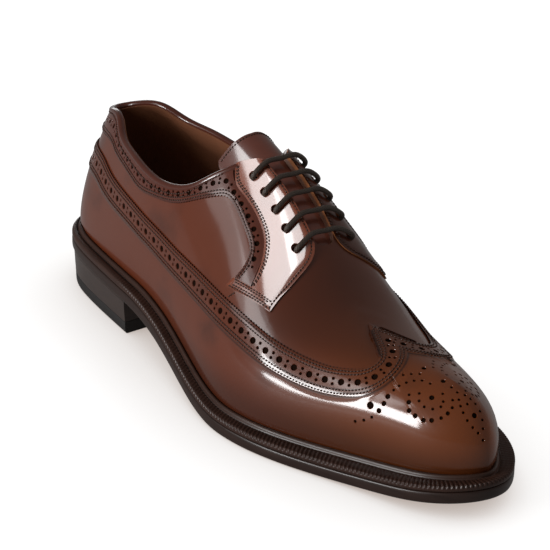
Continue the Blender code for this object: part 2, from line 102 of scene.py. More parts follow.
def curve_through(xs, ys, closed=False):
    """Smooth cubic curve through the points, natural at its ends or closed."""
    xs = np.array(xs, float)
    ys = np.array(ys, float)
    steps = np.diff(xs)
    pieces = len(xs) - 1
    size = pieces if closed else len(xs)
    matrix = np.eye(size)
    bend = np.zeros(size)
    slopes = np.diff(ys) / steps
    for i in range(0 if closed else 1, pieces):
        back, on = steps[i - 1], steps[i]
        matrix[i, i] = 2 * (back + on)
        matrix[i, i - 1] += back
        matrix[i, (i + 1) % size] += on
        bend[i] = 6 * (slopes[i] - slopes[i - 1])
    bends = np.linalg.solve(matrix, bend)
    if closed:
        bends = np.append(bends, bends[0])

    def value(x):
        x = np.asarray(x, float)
        if closed:
            x = xs[0] + np.mod(x - xs[0], xs[-1] - xs[0])
        k = np.clip(np.searchsorted(xs, x, side="right") - 1, 0, pieces - 1)
        a = (xs[k + 1] - x) / steps[k]
        b = 1 - a
        sag = ((a ** 3 - a) * bends[k] + (b ** 3 - b) * bends[k + 1]) * steps[k] ** 2 / 6
        return a * ys[k] + b * ys[k + 1] + sag

    return value


def angle(station):
    """Angle round the sole at a station: 0 at the heel, pi at the toe."""
    return math.acos(1 - 2 * station)


def column(table, key, place):
    """Smooth curve of one column of a table over its first column."""
    return curve_through([place(row[0]) for row in table], [row[key] for row in table])


outline_rows = [(0.0, 0.0)] + [(angle(s), -out) for s, out, _ in OUTLINE]
outline_rows += [(math.pi, TOE_DRIFT)]
outline_rows += [(2 * math.pi - angle(s), side) for s, _, side in reversed(OUTLINE)]
outline_rows += [(2 * math.pi, 0.0)]
edge_y = curve_through([a for a, _ in outline_rows], [y for _, y in outline_rows], closed=True)
reach_at = column(REACH, 1, angle)
ridge_z = column(RIDGE, 1, float)
ridge_y = column(RIDGE, 2, float)
upright_at = column(SECTION, 1, angle)
crown_at = column(SECTION, 2, angle)
bulge_at = column(SECTION, 3, angle)
collar_at = column(COLLAR, 1, angle)


def fold(a):
    """Angle from the heel, the same on both sides."""
    return np.arccos(np.clip(np.cos(a), -1, 1))


def mirrored(a):
    """Angle of the same place on the other side."""
    return 2 * math.pi - a


def edge_x(a):
    """Place along the shoe of the sole's edge at an angle."""
    return LENGTH / 2 * (1 - np.cos(a))


def rim(a, inset):
    """Plan point of the sole's edge moved in by inset, and the way out from it."""
    dx = edge_x(a + SMALL) - edge_x(a - SMALL)
    dy = edge_y(a + SMALL) - edge_y(a - SMALL)
    run = np.hypot(dx, dy)
    return edge_x(a) - dy / run * inset, edge_y(a) + dx / run * inset, dy / run, -dx / run


def tread_z(x):
    """Underside of the outsole: heel seat, arch, flat tread and toe spring."""
    arch = np.clip((TREAD_BACK - x) / (TREAD_BACK - BREAST), 0, 1)
    seat = np.clip((BREAST - x) / BREAST, 0, 1)
    toe = np.clip((x - TREAD_FRONT) / (LENGTH - TREAD_FRONT), 0, None)
    return HEEL_LIFT * arch * arch * (3 - 2 * arch) + SEAT_RISE * seat + TOE_SPRING * toe * toe


def welt_foot(x):
    """Underside of the welt."""
    return tread_z(x) + OUTSOLE_THICK + GAP


def feather_z(x):
    """Height at which the upper meets the welt."""
    return welt_foot(x) + WELT_THICK + GAP


def last(a, t, d):
    """Point of the last: a round the sole, t from feather to ridge, d outwards."""
    a = np.asarray(a, float)
    t = np.asarray(t, float)
    f = fold(a)
    foot_x, foot_y, out_x, out_y = rim(a, reach_at(f) - d)
    foot_z = feather_z(foot_x)
    back, front = RIDGE[0][0], RIDGE[-1][0]
    top_x = back + (front - back) * (1 - np.cos(f)) / 2
    top_y = ridge_y(top_x)
    top_z = ridge_z(top_x) + d
    fall = ridge_z(top_x + 0.5) - ridge_z(top_x - 0.5)
    bulge = bulge_at(f)
    side_z = foot_z + upright_at(f) * (top_z - foot_z)
    share = crown_at(f) / np.hypot(foot_x - top_x, foot_y - top_y)
    crown_x = top_x + share * (foot_x - top_x)
    crown_y = top_y + share * (foot_y - top_y)
    crown_z = top_z + fall * (crown_x - top_x)
    b0, b1, b2, b3 = (1 - t) ** 3, 3 * t * (1 - t) ** 2, 3 * t * t * (1 - t), t ** 3
    x = b0 * foot_x + b1 * (foot_x + out_x * bulge) + b2 * crown_x + b3 * top_x
    y = b0 * foot_y + b1 * (foot_y + out_y * bulge) + b2 * crown_y + b3 * top_y
    z = b0 * foot_z + b1 * side_z + b2 * crown_z + b3 * top_z
    return np.stack([x, y, z], axis=-1)


def wall_end(a):
    """Share of the section at which the upper ends: collar, throat slot or ridge."""
    f = fold(np.asarray(a, float))
    front, throat = angle(COLLAR_FRONT), angle(THROAT_FRONT)
    slot = SLOT_TOP + (SLOT_FOOT - SLOT_TOP) * (f - front) / (throat - front)
    rounding = np.clip((f - angle(ROUND_FROM)) / (throat - angle(ROUND_FROM)), 0, 1)
    slot = 1 - (1 - slot) * np.sqrt(1 - rounding ** 2)
    return np.where(f <= front, collar_at(f), np.where(f < throat, slot, 1.0))


def placed(points):
    """Points in metres about the origin under the middle of the sole."""
    return (np.asarray(points, float) - CENTRE) * MM


def sheet_of(name, places, closed=False):
    """Grid primitive drawn out to rows and columns of places, welded where they meet."""
    bpy.ops.object.select_all(action="DESELECT")
    rows, columns = places.shape[:2]
    bpy.ops.mesh.primitive_grid_add(x_subdivisions=columns - 1, y_subdivisions=rows - 1, size=0.1)
    piece = bpy.context.object
    piece.name = name
    piece.data.name = name
    piece.data.vertices.foreach_set("co", placed(places).ravel())
    bpy.ops.object.mode_set(mode="EDIT")
    bpy.ops.mesh.select_all(action="SELECT")
    bpy.ops.mesh.remove_doubles(threshold=WELD * MM)
    if closed:
        bpy.ops.mesh.fill_holes(sides=0)
        bpy.ops.mesh.normals_make_consistent(inside=False)
    bpy.ops.object.mode_set(mode="OBJECT")
    return piece


def applied(piece, kind, **settings):
    """One modifier, set and applied."""
    bpy.context.view_layer.objects.active = piece
    modifier = piece.modifiers.new(kind.lower(), kind)
    for key, value in settings.items():
        setattr(modifier, key, value)
    bpy.ops.object.modifier_apply(modifier=modifier.name)


def clad(piece, *materials):
    """The piece takes its materials in order."""
    for material in materials:
        piece.data.materials.append(material)


def thickened(piece, thickness, edge=1):
    """A sheet made a wall; its back takes the second material, and so does its rim unless edge is 0."""
    applied(piece, "SOLIDIFY", thickness=thickness * MM, offset=-1.0, use_even_offset=False,
            material_offset=1, material_offset_rim=edge)


def smoothed(piece, sharp_from=40.0):
    """Smooth shading, broken at edges sharper than an angle."""
    bpy.ops.object.select_all(action="DESELECT")
    piece.select_set(True)
    bpy.context.view_layer.objects.active = piece
    bpy.ops.object.shade_smooth_by_angle(angle=math.radians(sharp_from))


def joined_to_shoe(piece, slot, *nodes):
    """The piece rides on the shoe and stands for its solids, which are hidden; its slot is not used."""
    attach(piece, "root")
    if nodes:
        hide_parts(*nodes)


def fed(tree, target, inputs):
    """A node whose inputs take values or other nodes' outputs."""
    for key, value in inputs.items():
        if isinstance(value, bpy.types.NodeSocket):
            tree.links.new(value, target.inputs[key])
        else:
            target.inputs[key].default_value = value
    return target


def node(tree, kind, inputs, **settings):
    """New shader node with its settings and inputs."""
    made = tree.nodes.new("ShaderNode" + kind)
    for key, value in settings.items():
        setattr(made, key, value)
    return fed(tree, made, inputs)


def mixed(tree, factor, first, second):
    """Colour between two others by a factor."""
    inputs = {"Factor": factor, "A": first, "B": second}
    return node(tree, "Mix", inputs, data_type="RGBA").outputs["Result"]


def group_of(name, given, results):
    """New node group with its sockets, each a name and a kind."""
    group = bpy.data.node_groups.new(name, "ShaderNodeTree")
    for way, sockets in (("INPUT", given), ("OUTPUT", results)):
        for label, kind in sockets:
            group.interface.new_socket(name=label, in_out=way, socket_type="NodeSocket" + kind)
    return group, group.nodes.new("NodeGroupInput").outputs, group.nodes.new("NodeGroupOutput")


HIDE_WAVES = 160.0
HIDE_CLOUDS = 38.0
PORE_SHARE = 0.35


def grain_group():
    """Fine pores and faint hide lines of smooth leather, as a height and a mottle."""
    group, given, result = group_of("leather_grain", (("Vector", "Vector"), ("Pores per metre", "Float")),
                                    (("Height", "Float"), ("Mottle", "Float")))
    place = given["Vector"]
    pores = node(group, "TexVoronoi", {"Vector": place, "Scale": given["Pores per metre"]})
    waves = node(group, "TexNoise", {"Vector": place, "Scale": HIDE_WAVES, "Detail": 4.0})
    clouds = node(group, "TexNoise", {"Vector": place, "Scale": HIDE_CLOUDS, "Detail": 5.0})
    parts = {0: pores.outputs["Distance"], 1: PORE_SHARE, 2: waves.outputs["Fac"]}
    height = node(group, "Math", parts, operation="MULTIPLY_ADD")
    fed(group, result, {"Height": height.outputs[0], "Mottle": clouds.outputs["Fac"]})
    return group


leather_grain = grain_group()


# Polish and painted shade: spans along the shoe and in height, in metres, a span of the mottle, and darkness
TAN_SPAN = (0.035, 0.105)
# Darker towards the welt: partly burnish, partly painted shade where the upper meets the welt
FEATHER_SPAN = (0.034, 0.016)
FEATHER_DARK = 0.55
CLOUD_SPAN = (0.50, 0.75)
CLOUD_DARK = 0.45
# Painted shade: the vamp's top darkened to stand for the dark reflection it shows
VAMP_START = (0.010, 0.045)
VAMP_END = (0.110, 0.080)
VAMP_HEIGHT = (0.040, 0.054)
VAMP_PAINTED_SHADE = 0.42


def polish_and_shade_group():
    """Polish colours by place on the shoe: tan toe and red quarters, the vamp's top darkened by painted
    shade, and the feather darkened partly by burnish, partly by painted shade.
    """
    group, given, result = group_of(
        "polish_and_shade_colours",
        (("Vector", "Vector"), ("Mottle", "Float"), ("Dark", "Float"), ("Quarter", "Color"),
         ("Toe", "Color"), ("Burnish and shade", "Color")),
        (("Color", "Color"),))
    split = node(group, "SeparateXYZ", {0: given["Vector"]})
    along, height = split.outputs["X"], split.outputs["Z"]

    def between(source, low, high):
        """Smooth step of a source from low to high."""
        inputs = {"Value": source, "From Min": low, "From Max": high}
        return node(group, "MapRange", inputs, interpolation_type="SMOOTHSTEP").outputs["Result"]

    def worked(operation, whole, *others):
        """Values worked together in turn, each result kept from 0 to 1."""
        for value in others:
            inputs = {0: whole, 1: value}
            whole = node(group, "Math", inputs, operation=operation, use_clamp=True).outputs[0]
        return whole

    body = mixed(group, between(along, *TAN_SPAN), given["Quarter"], given["Toe"])
    # Partly burnish, partly painted shade towards the welt
    low = worked("MULTIPLY", between(height, *FEATHER_SPAN), FEATHER_DARK)
    clouds = worked("MULTIPLY", between(given["Mottle"], *CLOUD_SPAN), CLOUD_DARK)
    # Painted shade over the vamp's top
    vamp = worked("MULTIPLY", between(along, *VAMP_START), between(along, *VAMP_END),
                  between(height, *VAMP_HEIGHT), VAMP_PAINTED_SHADE)
    shade = worked("MAXIMUM", low, clouds, vamp, given["Dark"])
    fed(group, result, {"Color": mixed(group, shade, body, given["Burnish and shade"])})
    return group


polish_and_shade_colours = polish_and_shade_group()


def new_material(name):
    """Material, its tree, its Principled node and the piece's own coordinates."""
    material = bpy.data.materials.new(name)
    material.use_nodes = True
    tree = material.node_tree
    place = node(tree, "TexCoord", {}).outputs["Object"]
    return material, tree, tree.nodes["Principled BSDF"], place


def bumped(tree, surface, height, strength, distance, under=None):
    """Bump of a height on the surface, over another bump where there is one."""
    bump = node(tree, "Bump", {"Strength": strength, "Distance": distance * MM, "Height": height})
    if under is not None:
        fed(tree, bump, {"Normal": under.outputs["Normal"]})
    fed(tree, surface, {"Normal": bump.outputs["Normal"]})
    return bump


def ramp(tree, factor, stops):
    """Grey ramp through (place, value) stops."""
    greys = node(tree, "ValToRGB", {"Fac": factor})
    elements = greys.color_ramp.elements
    while len(elements) < len(stops):
        elements.new(0.5)
    for element, (place, value) in zip(elements, stops):
        element.position = place
        element.color = (value, value, value, 1.0)
    return greys.outputs["Color"]


def grained(tree, place, pores):
    """Height and mottle of leather with so many pores to the metre."""
    inputs = {"Vector": place, "Pores per metre": pores}
    return node(tree, "Group", inputs, node_tree=leather_grain).outputs


def shades(colour, dark, light):
    """A darker and a lighter shade of a colour."""
    return [[c * part for c in colour[:3]] + [1.0] for part in (dark, light)]


QUARTER_RED = (0.122, 0.027, 0.010, 1.0)
TOE_TAN = (0.158, 0.037, 0.007, 1.0)
# Dark polish colour, also the colour that all painted shade on the calf pulls towards
BURNISH_AND_SHADE = (0.014, 0.004, 0.002, 1.0)
LINING_BROWN = (0.21, 0.080, 0.038, 1.0)
HOLE_SHADE_BLACK = (0.012, 0.006, 0.004, 1.0)
CUT_BROWN = (0.045, 0.014, 0.008, 1.0)
RIM_SCALE = 16.0
CALF_PORES = 900.0
PLAIN_PORES = 700.0
CALF_ROUGH = (0.30, 0.46)


def polished(name, lines=((0.0, 0.0), (1.0, 0.0)), quarter=QUARTER_RED):
    """Polished calf; lines are darkenings by the distance from the piece's edge: a painted shadow at the edge
    itself, and painted shade with some polish in its furrows along seams, holes and steps.
    """
    material, tree, surface, place = new_material(name)
    grain = grained(tree, place, CALF_PORES)
    away = node(tree, "Attribute", {}, attribute_name="rim").outputs["Fac"]
    share = node(tree, "Math", {0: away, 1: RIM_SCALE}, operation="DIVIDE").outputs[0]
    dark = ramp(tree, share, lines)
    inputs = {"Vector": place, "Mottle": grain["Mottle"], "Dark": dark, "Quarter": quarter,
              "Toe": TOE_TAN, "Burnish and shade": BURNISH_AND_SHADE}
    colours = node(tree, "Group", inputs, node_tree=polish_and_shade_colours)
    least, most = CALF_ROUGH
    rough = node(tree, "MapRange", {"Value": grain["Mottle"], "To Min": least, "To Max": most})
    fed(tree, surface, {"Base Color": colours.outputs["Color"], "Roughness": rough.outputs["Result"],
                        "Specular IOR Level": 0.14, "Coat Weight": 0.9, "Coat Roughness": 0.11})
    fine = bumped(tree, surface, grain["Height"], 0.09, 0.25)
    furrow = node(tree, "Math", {0: 1.0, 1: dark}, operation="SUBTRACT").outputs[0]
    bumped(tree, surface, furrow, 0.55, 0.35, fine)
    return material


def plain_leather(name, colour, roughness, shine=0.5):
    """Unpolished leather of one tone, mottled and lightly grained."""
    material, tree, surface, place = new_material(name)
    grain = grained(tree, place, PLAIN_PORES)
    fed(tree, surface, {"Base Color": mixed(tree, grain["Mottle"], *shades(colour, 0.65, 1.3)),
                        "Roughness": roughness, "Specular IOR Level": shine})
    bumped(tree, surface, grain["Height"], 0.3, 0.3)
    return material


calf = polished("polished_calf")
lining = plain_leather("lining_leather", LINING_BROWN, 0.5)
# Painted shade: an unshining near-black ground at the bottom of the punched holes, standing for the shade
# inside them
hole_painted_shade = plain_leather("punched_hole_painted_shade", HOLE_SHADE_BLACK, 0.9, shine=0.0)
raw_edge = plain_leather("cut_leather_edge", CUT_BROWN, 0.7, shine=0.1)

# Soft creases across the vamp where the ball of the foot bends
CREASES = (
    # x at the ridge, turn of x per share from the ridge, depth, breadth, reach in share
    (203.0, 30.0, 0.30, 4.0, 0.22),
    (213.0, 34.0, 0.22, 4.5, 0.20),
)


def creased(a, t):
    """Depth of the vamp's creases, in the shoe's own sizes."""
    x = last(a, t, 0.0)[..., 0]
    depth = np.zeros_like(x)
    for centre, turn, deep, broad, reach in CREASES:
        away = (x - centre - turn * (1 - t)) / broad
        side = np.clip(1 - (1 - t) / reach, 0, 1)
        dip = np.exp(-away ** 2) - 0.5 * np.exp(-(away - 1.6) ** 2)
        depth += deep * side * side * (3 - 2 * side) * dip
    return depth


upper_half = np.linspace(0.0, math.pi, UPPER_COLUMNS + 1)
throat_end = np.sin(np.linspace(0.0, math.pi / 2, THROAT_COLUMNS))
throat_end = angle(ROUND_FROM) + (angle(THROAT_FRONT) - angle(ROUND_FROM)) * throat_end
upper_half = upper_half[(upper_half < throat_end[0]) | (upper_half > throat_end[-1])]
upper_half = np.union1d(upper_half, [angle(COLLAR_FRONT), *throat_end])
upper_ring = np.concatenate([upper_half, mirrored(upper_half[-2::-1])])
upper_shares = np.linspace(0.0, 1.0, UPPER_ROWS + 1)
upper_a, upper_row = np.meshgrid(upper_ring, upper_shares)
upper_t = upper_row * wall_end(upper_ring)
upper = sheet_of("upper_leather", last(upper_a, upper_t, UPPER_TOP - creased(upper_a, upper_t)))
clad(upper, calf, lining, hole_painted_shade)
thickened(upper, UPPER_WALL + UPPER_TOP)
joined_to_shoe(upper, "upper_leather", "upper")


def unit(vectors):
    """Vectors of the same ways and of length 1."""
    return vectors / np.linalg.norm(vectors, axis=-1, keepdims=True)


def squarely(a, t):
    """Unit vectors out of the last."""
    along = last(a + SMALL, t, 0.0) - last(a - SMALL, t, 0.0)
    up = last(a, t + SMALL, 0.0) - last(a, t - SMALL, 0.0)
    return unit(np.cross(along, up))


# Rolled top line
# Narrow strip of darker calf turned over the collar's edge and sewn down, from one facing
# round the heel to the other.
TOP_LINE_BROWN = (0.078, 0.017, 0.008, 1.0)
TOP_LINE_SINK = 0.1
TOP_LINE_COLUMNS = 240
BEAD_RADIUS = 1.75
BEAD_SIDES = 14


def tube(name, path, radius, sides, first_out=None):
    """Round tube along a path, closed at its ends."""
    path = np.asarray(path, float)
    ways = unit(np.gradient(path, axis=0))
    out = np.array([0.0, 0.0, 1.0]) if first_out is None else np.asarray(first_out, float)
    turns = np.linspace(0, 2 * math.pi, sides + 1)
    rings = []
    for spot, way in zip(path, ways):
        out = out - way * np.dot(out, way)
        out /= np.linalg.norm(out)
        beside = np.cross(way, out)
        rings.append(spot + radius * (np.cos(turns)[:, None] * out + np.sin(turns)[:, None] * beside))
    piece = sheet_of(name, np.stack(rings, axis=1), closed=True)
    smoothed(piece, 60.0)
    return piece


collar_angles = np.linspace(-angle(COLLAR_FRONT), angle(COLLAR_FRONT), TOP_LINE_COLUMNS)
collar_line = last(collar_angles, wall_end(collar_angles), -TOP_LINE_SINK)
top_line = tube("rolled_top_line", collar_line, BEAD_RADIUS, BEAD_SIDES)
clad(top_line, polished("top_line_calf", quarter=TOP_LINE_BROWN))
joined_to_shoe(top_line, "upper_leather")

# Tongue
# Soft calf tongue under the facings, sewn to the vamp at its foot; its top edge is turned
# and stitched and stands above the collar.
TONGUE = (
    # station, edge share
    (0.392, 0.735), (0.402, 0.712), (0.43, 0.70), (0.48, 0.70), (0.53, 0.71), (0.58, 0.73),
    (0.63, 0.76), (0.67, 0.80),
)
# Dark calf for the tongue: painted shade, as it lies in shadow between the facings and under the lace
TONGUE_SHADE_BROWN = (0.038, 0.010, 0.006, 1.0)
TONGUE_THICK = 2.0
TONGUE_DEPTH = 0.9
TONGUE_TOP = -UPPER_WALL - TONGUE_DEPTH
TONGUE_ROWS = 60
TONGUE_COLUMNS = 41


def table_curves(table, places):
    """Smooth curves of a table's columns over its row number, stations made angles."""
    rows = range(len(table))
    return [curve_through(rows, [angle(row[k]) if k in places else row[k] for row in table])
            for k in range(len(table[0]))]


tongue_along, tongue_edge = table_curves(TONGUE, (0,))
tongue_rows = np.linspace(0, len(TONGUE) - 1, TONGUE_ROWS)
tongue_across = np.linspace(-1.0, 1.0, TONGUE_COLUMNS)
tongue_a = np.repeat(tongue_along(tongue_rows)[:, None], TONGUE_COLUMNS, axis=1)
tongue_t = 1 - np.abs(tongue_across)[None, :] * (1 - tongue_edge(tongue_rows))[:, None]
tongue_a = np.where(tongue_across[None, :] > 0, mirrored(tongue_a), tongue_a)
tongue = sheet_of("tongue_leather", last(tongue_a.T, tongue_t.T, TONGUE_TOP))
clad(tongue, polished("tongue_calf_painted_shade", quarter=TONGUE_SHADE_BROWN), lining)
thickened(tongue, TONGUE_THICK, edge=0)
smoothed(tongue)
joined_to_shoe(tongue, "upper_leather", "tongue")

# Winged toe piece
# Calf overlay from toe to heel on both sides. Its upper edge is gimped, a doubled strip
# along it is punched and double stitched, and the toe carries a punched medallion.
WING_EDGE = (
    # station, share, foot station
    (0.785, 1.0, 0.982),
    (0.812, 0.905, 0.968),
    (0.834, 0.790, 0.945),
    (0.817, 0.655, 0.905),
    (0.785, 0.578, 0.850),
    (0.752, 0.530, 0.797),
    (0.707, 0.488, 0.737),
    (0.658, 0.447, 0.675),
    (0.583, 0.407, 0.590),
    (0.496, 0.367, 0.500),
    (0.432, 0.338, 0.434),
    (0.367, 0.314, 0.367),
    (0.301, 0.311, 0.301),
    (0.246, 0.331, 0.240),
    (0.143, 0.400, 0.135),
    (0.066, 0.473, 0.060),
    (0.0, 0.515, 0.0),
)
OVERLAY_TOP = 1.8
OVERLAY_THICK = 0.75
EDGE_DROP = 0.4
EDGE_WIDTH = 2.2
TOOTH_PITCH = 1.7
TOOTH_DEPTH = 0.6
STRIP_WIDTH = 12.4
STRIP_STEP = 0.5
STRIP_FADE = 0.7
BEAD_CLEAR = 3.2
RIDGE_COLUMNS = 40
WING_MARKS = (0.0, 1.3, 2.2, 3.2, 4.4, 5.6, 6.8, 8.0, 9.2, 10.3, 11.2, 11.9, 12.6, 13.3, 14.2)
WING_LOWER_ROWS = 15
WING_FINE = 3000
RULE_POINTS = 50
INSET_STEP = 1.5
INSET_NEAR = 0.96
INSET_HIGHEST = 0.997


def bead_share(a):
    """Share of the section that lies behind the bead of the welt."""
    low = np.zeros_like(a)
    high = np.full_like(a, 0.3)
    for _ in range(30):
        middle = (low + high) / 2
        spot = last(a, middle, 0.0)
        under = spot[..., 2] - feather_z(spot[..., 0]) < BEAD_CLEAR
        low = np.where(under, middle, low)
        high = np.where(under, high, middle)
    return high


def run_of(points):
    """Length along a line up to each of its points."""
    return np.concatenate([[0.0], np.cumsum(np.linalg.norm(np.diff(points, axis=0), axis=1))])


def paced(a, t, pitch, start=0.5):
    """Places at an even pitch along a line on the last."""
    run = run_of(last(a, t, 0.0))
    count = max(1, round(run[-1] / pitch))
    marks = (np.arange(count) + start) * run[-1] / count
    return np.interp(marks, run, a), np.interp(marks, run, t)


def tree_of(points):
    """Search tree of points."""
    tree = KDTree(len(points))
    for number, spot in enumerate(points):
        tree.insert(spot, number)
    tree.balance()
    return tree


def distances(points, line):
    """Distance of each point from the nearest point of a line."""
    tree = tree_of(line)
    return np.array([tree.find(p)[2] for p in points])


def moved(a, t, way):
    """Places on the last after a move along its surface."""
    u = (last(a + SMALL, t, 0.0) - last(a - SMALL, t, 0.0)) / (2 * SMALL)
    v = (last(a, t + SMALL, 0.0) - last(a, t - SMALL, 0.0)) / (2 * SMALL)
    uu, uv, vv = (u * u).sum(1), (u * v).sum(1), (v * v).sum(1)
    pu, pv = (way * u).sum(1), (way * v).sum(1)
    det = uu * vv - uv * uv
    return a + (pu * vv - pv * uv) / det, t + (pv * uu - pu * uv) / det


def inset_line(a, t, width, side):
    """Line on the last at a width from an edge; side is 1 to the left of its run."""
    edge = last(a, t, 0.0)
    way = unit(np.gradient(edge, axis=0))
    steps = max(2, math.ceil(width / INSET_STEP))
    for _ in range(steps):
        inward = np.cross(squarely(a, t), way) * side
        inward *= width / steps / np.linalg.norm(inward, axis=1, keepdims=True)
        a, t = moved(a, t, inward)
    near = distances(last(a, t, 0.0), edge)
    kept = (near > INSET_NEAR * width) & (t < INSET_HIGHEST)
    return a[kept], t[kept]


def gimped(a, t, rows):
    """Rows of an edge's table at the tips and notches of its teeth."""
    run = run_of(last(a, t, 0.0))
    teeth = round(run[-1] / TOOTH_PITCH)
    return np.interp(np.linspace(0, run[-1], 2 * teeth + 1), run, rows)


wing_station, wing_share, wing_foot = table_curves(WING_EDGE, (0, 2))
fine_rows = np.linspace(0, len(WING_EDGE) - 1, WING_FINE)
wing_edge_a = np.clip(wing_station(fine_rows), 0.0, None)
wing_edge_t = np.clip(wing_share(fine_rows), 0.0, 1.0)
tooth_rows = gimped(wing_edge_a, wing_edge_t, fine_rows)
peak_part = np.linspace(0, 1, RIDGE_COLUMNS, endpoint=False)
peak_station, peak_foot = WING_EDGE[0][0], WING_EDGE[0][2]
wing_tops_a = np.concatenate([np.arccos(1 - 2 * (1.0 + (peak_station - 1.0) * peak_part)),
                              np.clip(wing_station(tooth_rows), 0.0, None)])
wing_tops_t = np.concatenate([np.ones(RIDGE_COLUMNS), np.clip(wing_share(tooth_rows), 0.0, 1.0)])
wing_feet_a = np.concatenate([math.pi + (angle(peak_foot) - math.pi) * peak_part,
                              np.clip(wing_foot(tooth_rows), 0.0, None)])
wing_bite = np.concatenate([np.zeros(RIDGE_COLUMNS), TOOTH_DEPTH * (np.arange(len(tooth_rows)) % 2)])
SIDES = {"lateral": lambda a: a, "medial": mirrored}


def wing_half(turn):
    """Angles and shares of one side's rules, from the toe to the heel, foot row first."""
    feet_t = bead_share(turn(wing_feet_a))
    rules_a, rules_t = [], []
    for top_a, top_t, foot_a, foot_t, bite in zip(wing_tops_a, wing_tops_t, wing_feet_a, feet_t, wing_bite):
        part = np.linspace(0, 1, RULE_POINTS)
        fine_a = top_a + (foot_a - top_a) * part
        fine_t = top_t + (foot_t - top_t) * part
        run = run_of(last(turn(fine_a), fine_t, 0.0))
        marks = np.concatenate([WING_MARKS, np.linspace(WING_MARKS[-1], run[-1], WING_LOWER_ROWS + 1)[1:]])
        marks[0] = bite
        share = np.interp(marks, run, part)[::-1]
        rules_a.append(turn(top_a + (foot_a - top_a) * share))
        rules_t.append(top_t + (foot_t - top_t) * share)
    return np.array(rules_a).T, np.array(rules_t).T


lateral_a, lateral_t = wing_half(SIDES["lateral"])
medial_a, medial_t = wing_half(SIDES["medial"])
wing_a = np.concatenate([lateral_a[:, ::-1], medial_a[:, 1:]], axis=1)
wing_t = np.concatenate([lateral_t[:, ::-1], medial_t[:, 1:]], axis=1)
wing_line_a = np.concatenate([wing_edge_a[::-1], mirrored(wing_edge_a[1:])])
wing_line_t = np.concatenate([wing_edge_t[::-1], wing_edge_t[1:]])
wing_line = last(wing_line_a, wing_line_t, 0.0)


def risen(low, high, x):
    """Smooth rise from 0 at low to 1 at high."""
    share = np.clip((x - low) / (high - low), 0, 1)
    return share * share * (3 - 2 * share)


wing_places = last(wing_a, wing_t, 0.0)
wing_away = distances(wing_places.reshape(-1, 3), wing_line).reshape(wing_a.shape)
wing_height = OVERLAY_TOP - EDGE_DROP * (1 - risen(0.0, EDGE_WIDTH, wing_away))
wing_height -= STRIP_STEP * risen(STRIP_WIDTH - STRIP_FADE, STRIP_WIDTH + STRIP_FADE, wing_away)
wing = sheet_of("wing_leather", last(wing_a, wing_t, wing_height))
# Painted shadow at the gimped edge; painted shade with some polish in the furrows of the seams, the hole line
# and the strip's step
SEAM_LINES = (
    # distance from the edge as a share of the scale, darkness
    (0.0, 1.0), (0.045, 0.25), (0.07, 0.15), (0.094, 0.75), (0.12, 0.15), (0.165, 0.15),
    (0.188, 0.75), (0.21, 0.12), (0.33, 0.12), (0.39, 0.3), (0.45, 0.12), (0.572, 0.12),
    (0.595, 0.75), (0.62, 0.15), (0.662, 0.15), (0.688, 0.75), (0.71, 0.15), (0.74, 0.1),
    (0.79, 0.85), (0.84, 0.12), (1.0, 0.0),
)
clad(wing, polished("wing_calf", SEAM_LINES), raw_edge, hole_painted_shade)
thickened(wing, OVERLAY_THICK)
PUNCH_DISH = 0.3
PUNCH_LIP = 0.05
PUNCH_RISE = 1.5


def piece_of(name, points, faces):
    """Piece made of points and faces."""
    mesh = bpy.data.meshes.new(name)
    mesh.from_pydata(placed(points), [], faces)
    piece = bpy.data.objects.new(name, mesh)
    bpy.context.collection.objects.link(piece)
    return piece


def punches(name, holes):
    """Joined round punches, each a place on the last, a height, a width, its sides and a depth."""
    points, faces, looks = [], [], []
    for a, t, height, width, sides, deep in holes:
        out = squarely(np.array(a), np.array(t))
        across = np.cross(out, [0.3, 0.5, 0.81])
        across /= np.linalg.norm(across)
        beside = np.cross(out, across)
        middle = last(a, t, height)
        turns = np.arange(sides) * 2 * math.pi / sides
        ring = np.cos(turns)[:, None] * across + np.sin(turns)[:, None] * beside
        first = len(points)
        narrow, broad = width / 2, width / 2 + PUNCH_DISH
        for reach, depth in ((narrow, -deep), (narrow, -PUNCH_DISH), (broad, PUNCH_LIP), (broad, PUNCH_RISE)):
            points.extend(middle + ring * reach + out * depth)
        for level in range(3):
            for k in range(sides):
                low, on = first + level * sides + k, first + level * sides + (k + 1) % sides
                faces.append((low, on, on + sides, low + sides))
                looks.append(0 if level else 1)
        faces.append(tuple(first + k for k in reversed(range(sides))))
        faces.append(tuple(first + 3 * sides + k for k in range(sides)))
        looks += [2, 2]
    tool = piece_of(name, points, faces)
    tool.data.polygons.foreach_set("material_index", looks)
    return tool


def punched(piece, holes):
    """Holes cut into a piece; walls take its second material and grounds, where blind, its third, which is a
    painted shade.
    """
    tool = punches(piece.name + "_punch", holes)
    clad(tool, *piece.data.materials)
    applied(piece, "BOOLEAN", operation="DIFFERENCE", solver="MANIFOLD", object=tool)
    bpy.data.objects.remove(tool, do_unlink=True)


def note_rim(piece, line):
    """Distance from the piece's edge in millimetres, kept for its material."""
    spots = np.empty(len(piece.data.vertices) * 3)
    piece.data.vertices.foreach_get("co", spots)
    away = distances(spots.reshape(-1, 3), placed(line)) / MM
    noted = piece.data.attributes.new("rim", "FLOAT", "POINT")
    noted.data.foreach_set("value", away)


BIG_HOLE = 2.7
SMALL_HOLE = 1.15
HOLE_REPEAT = 8.0
HOLE_LINE = 6.2
PAIR_GAP = 1.15
HOLE_DEEP = 0.66
HOLE_WALL = 0.1
BIG_SIDES = 14
SMALL_SIDES = 8


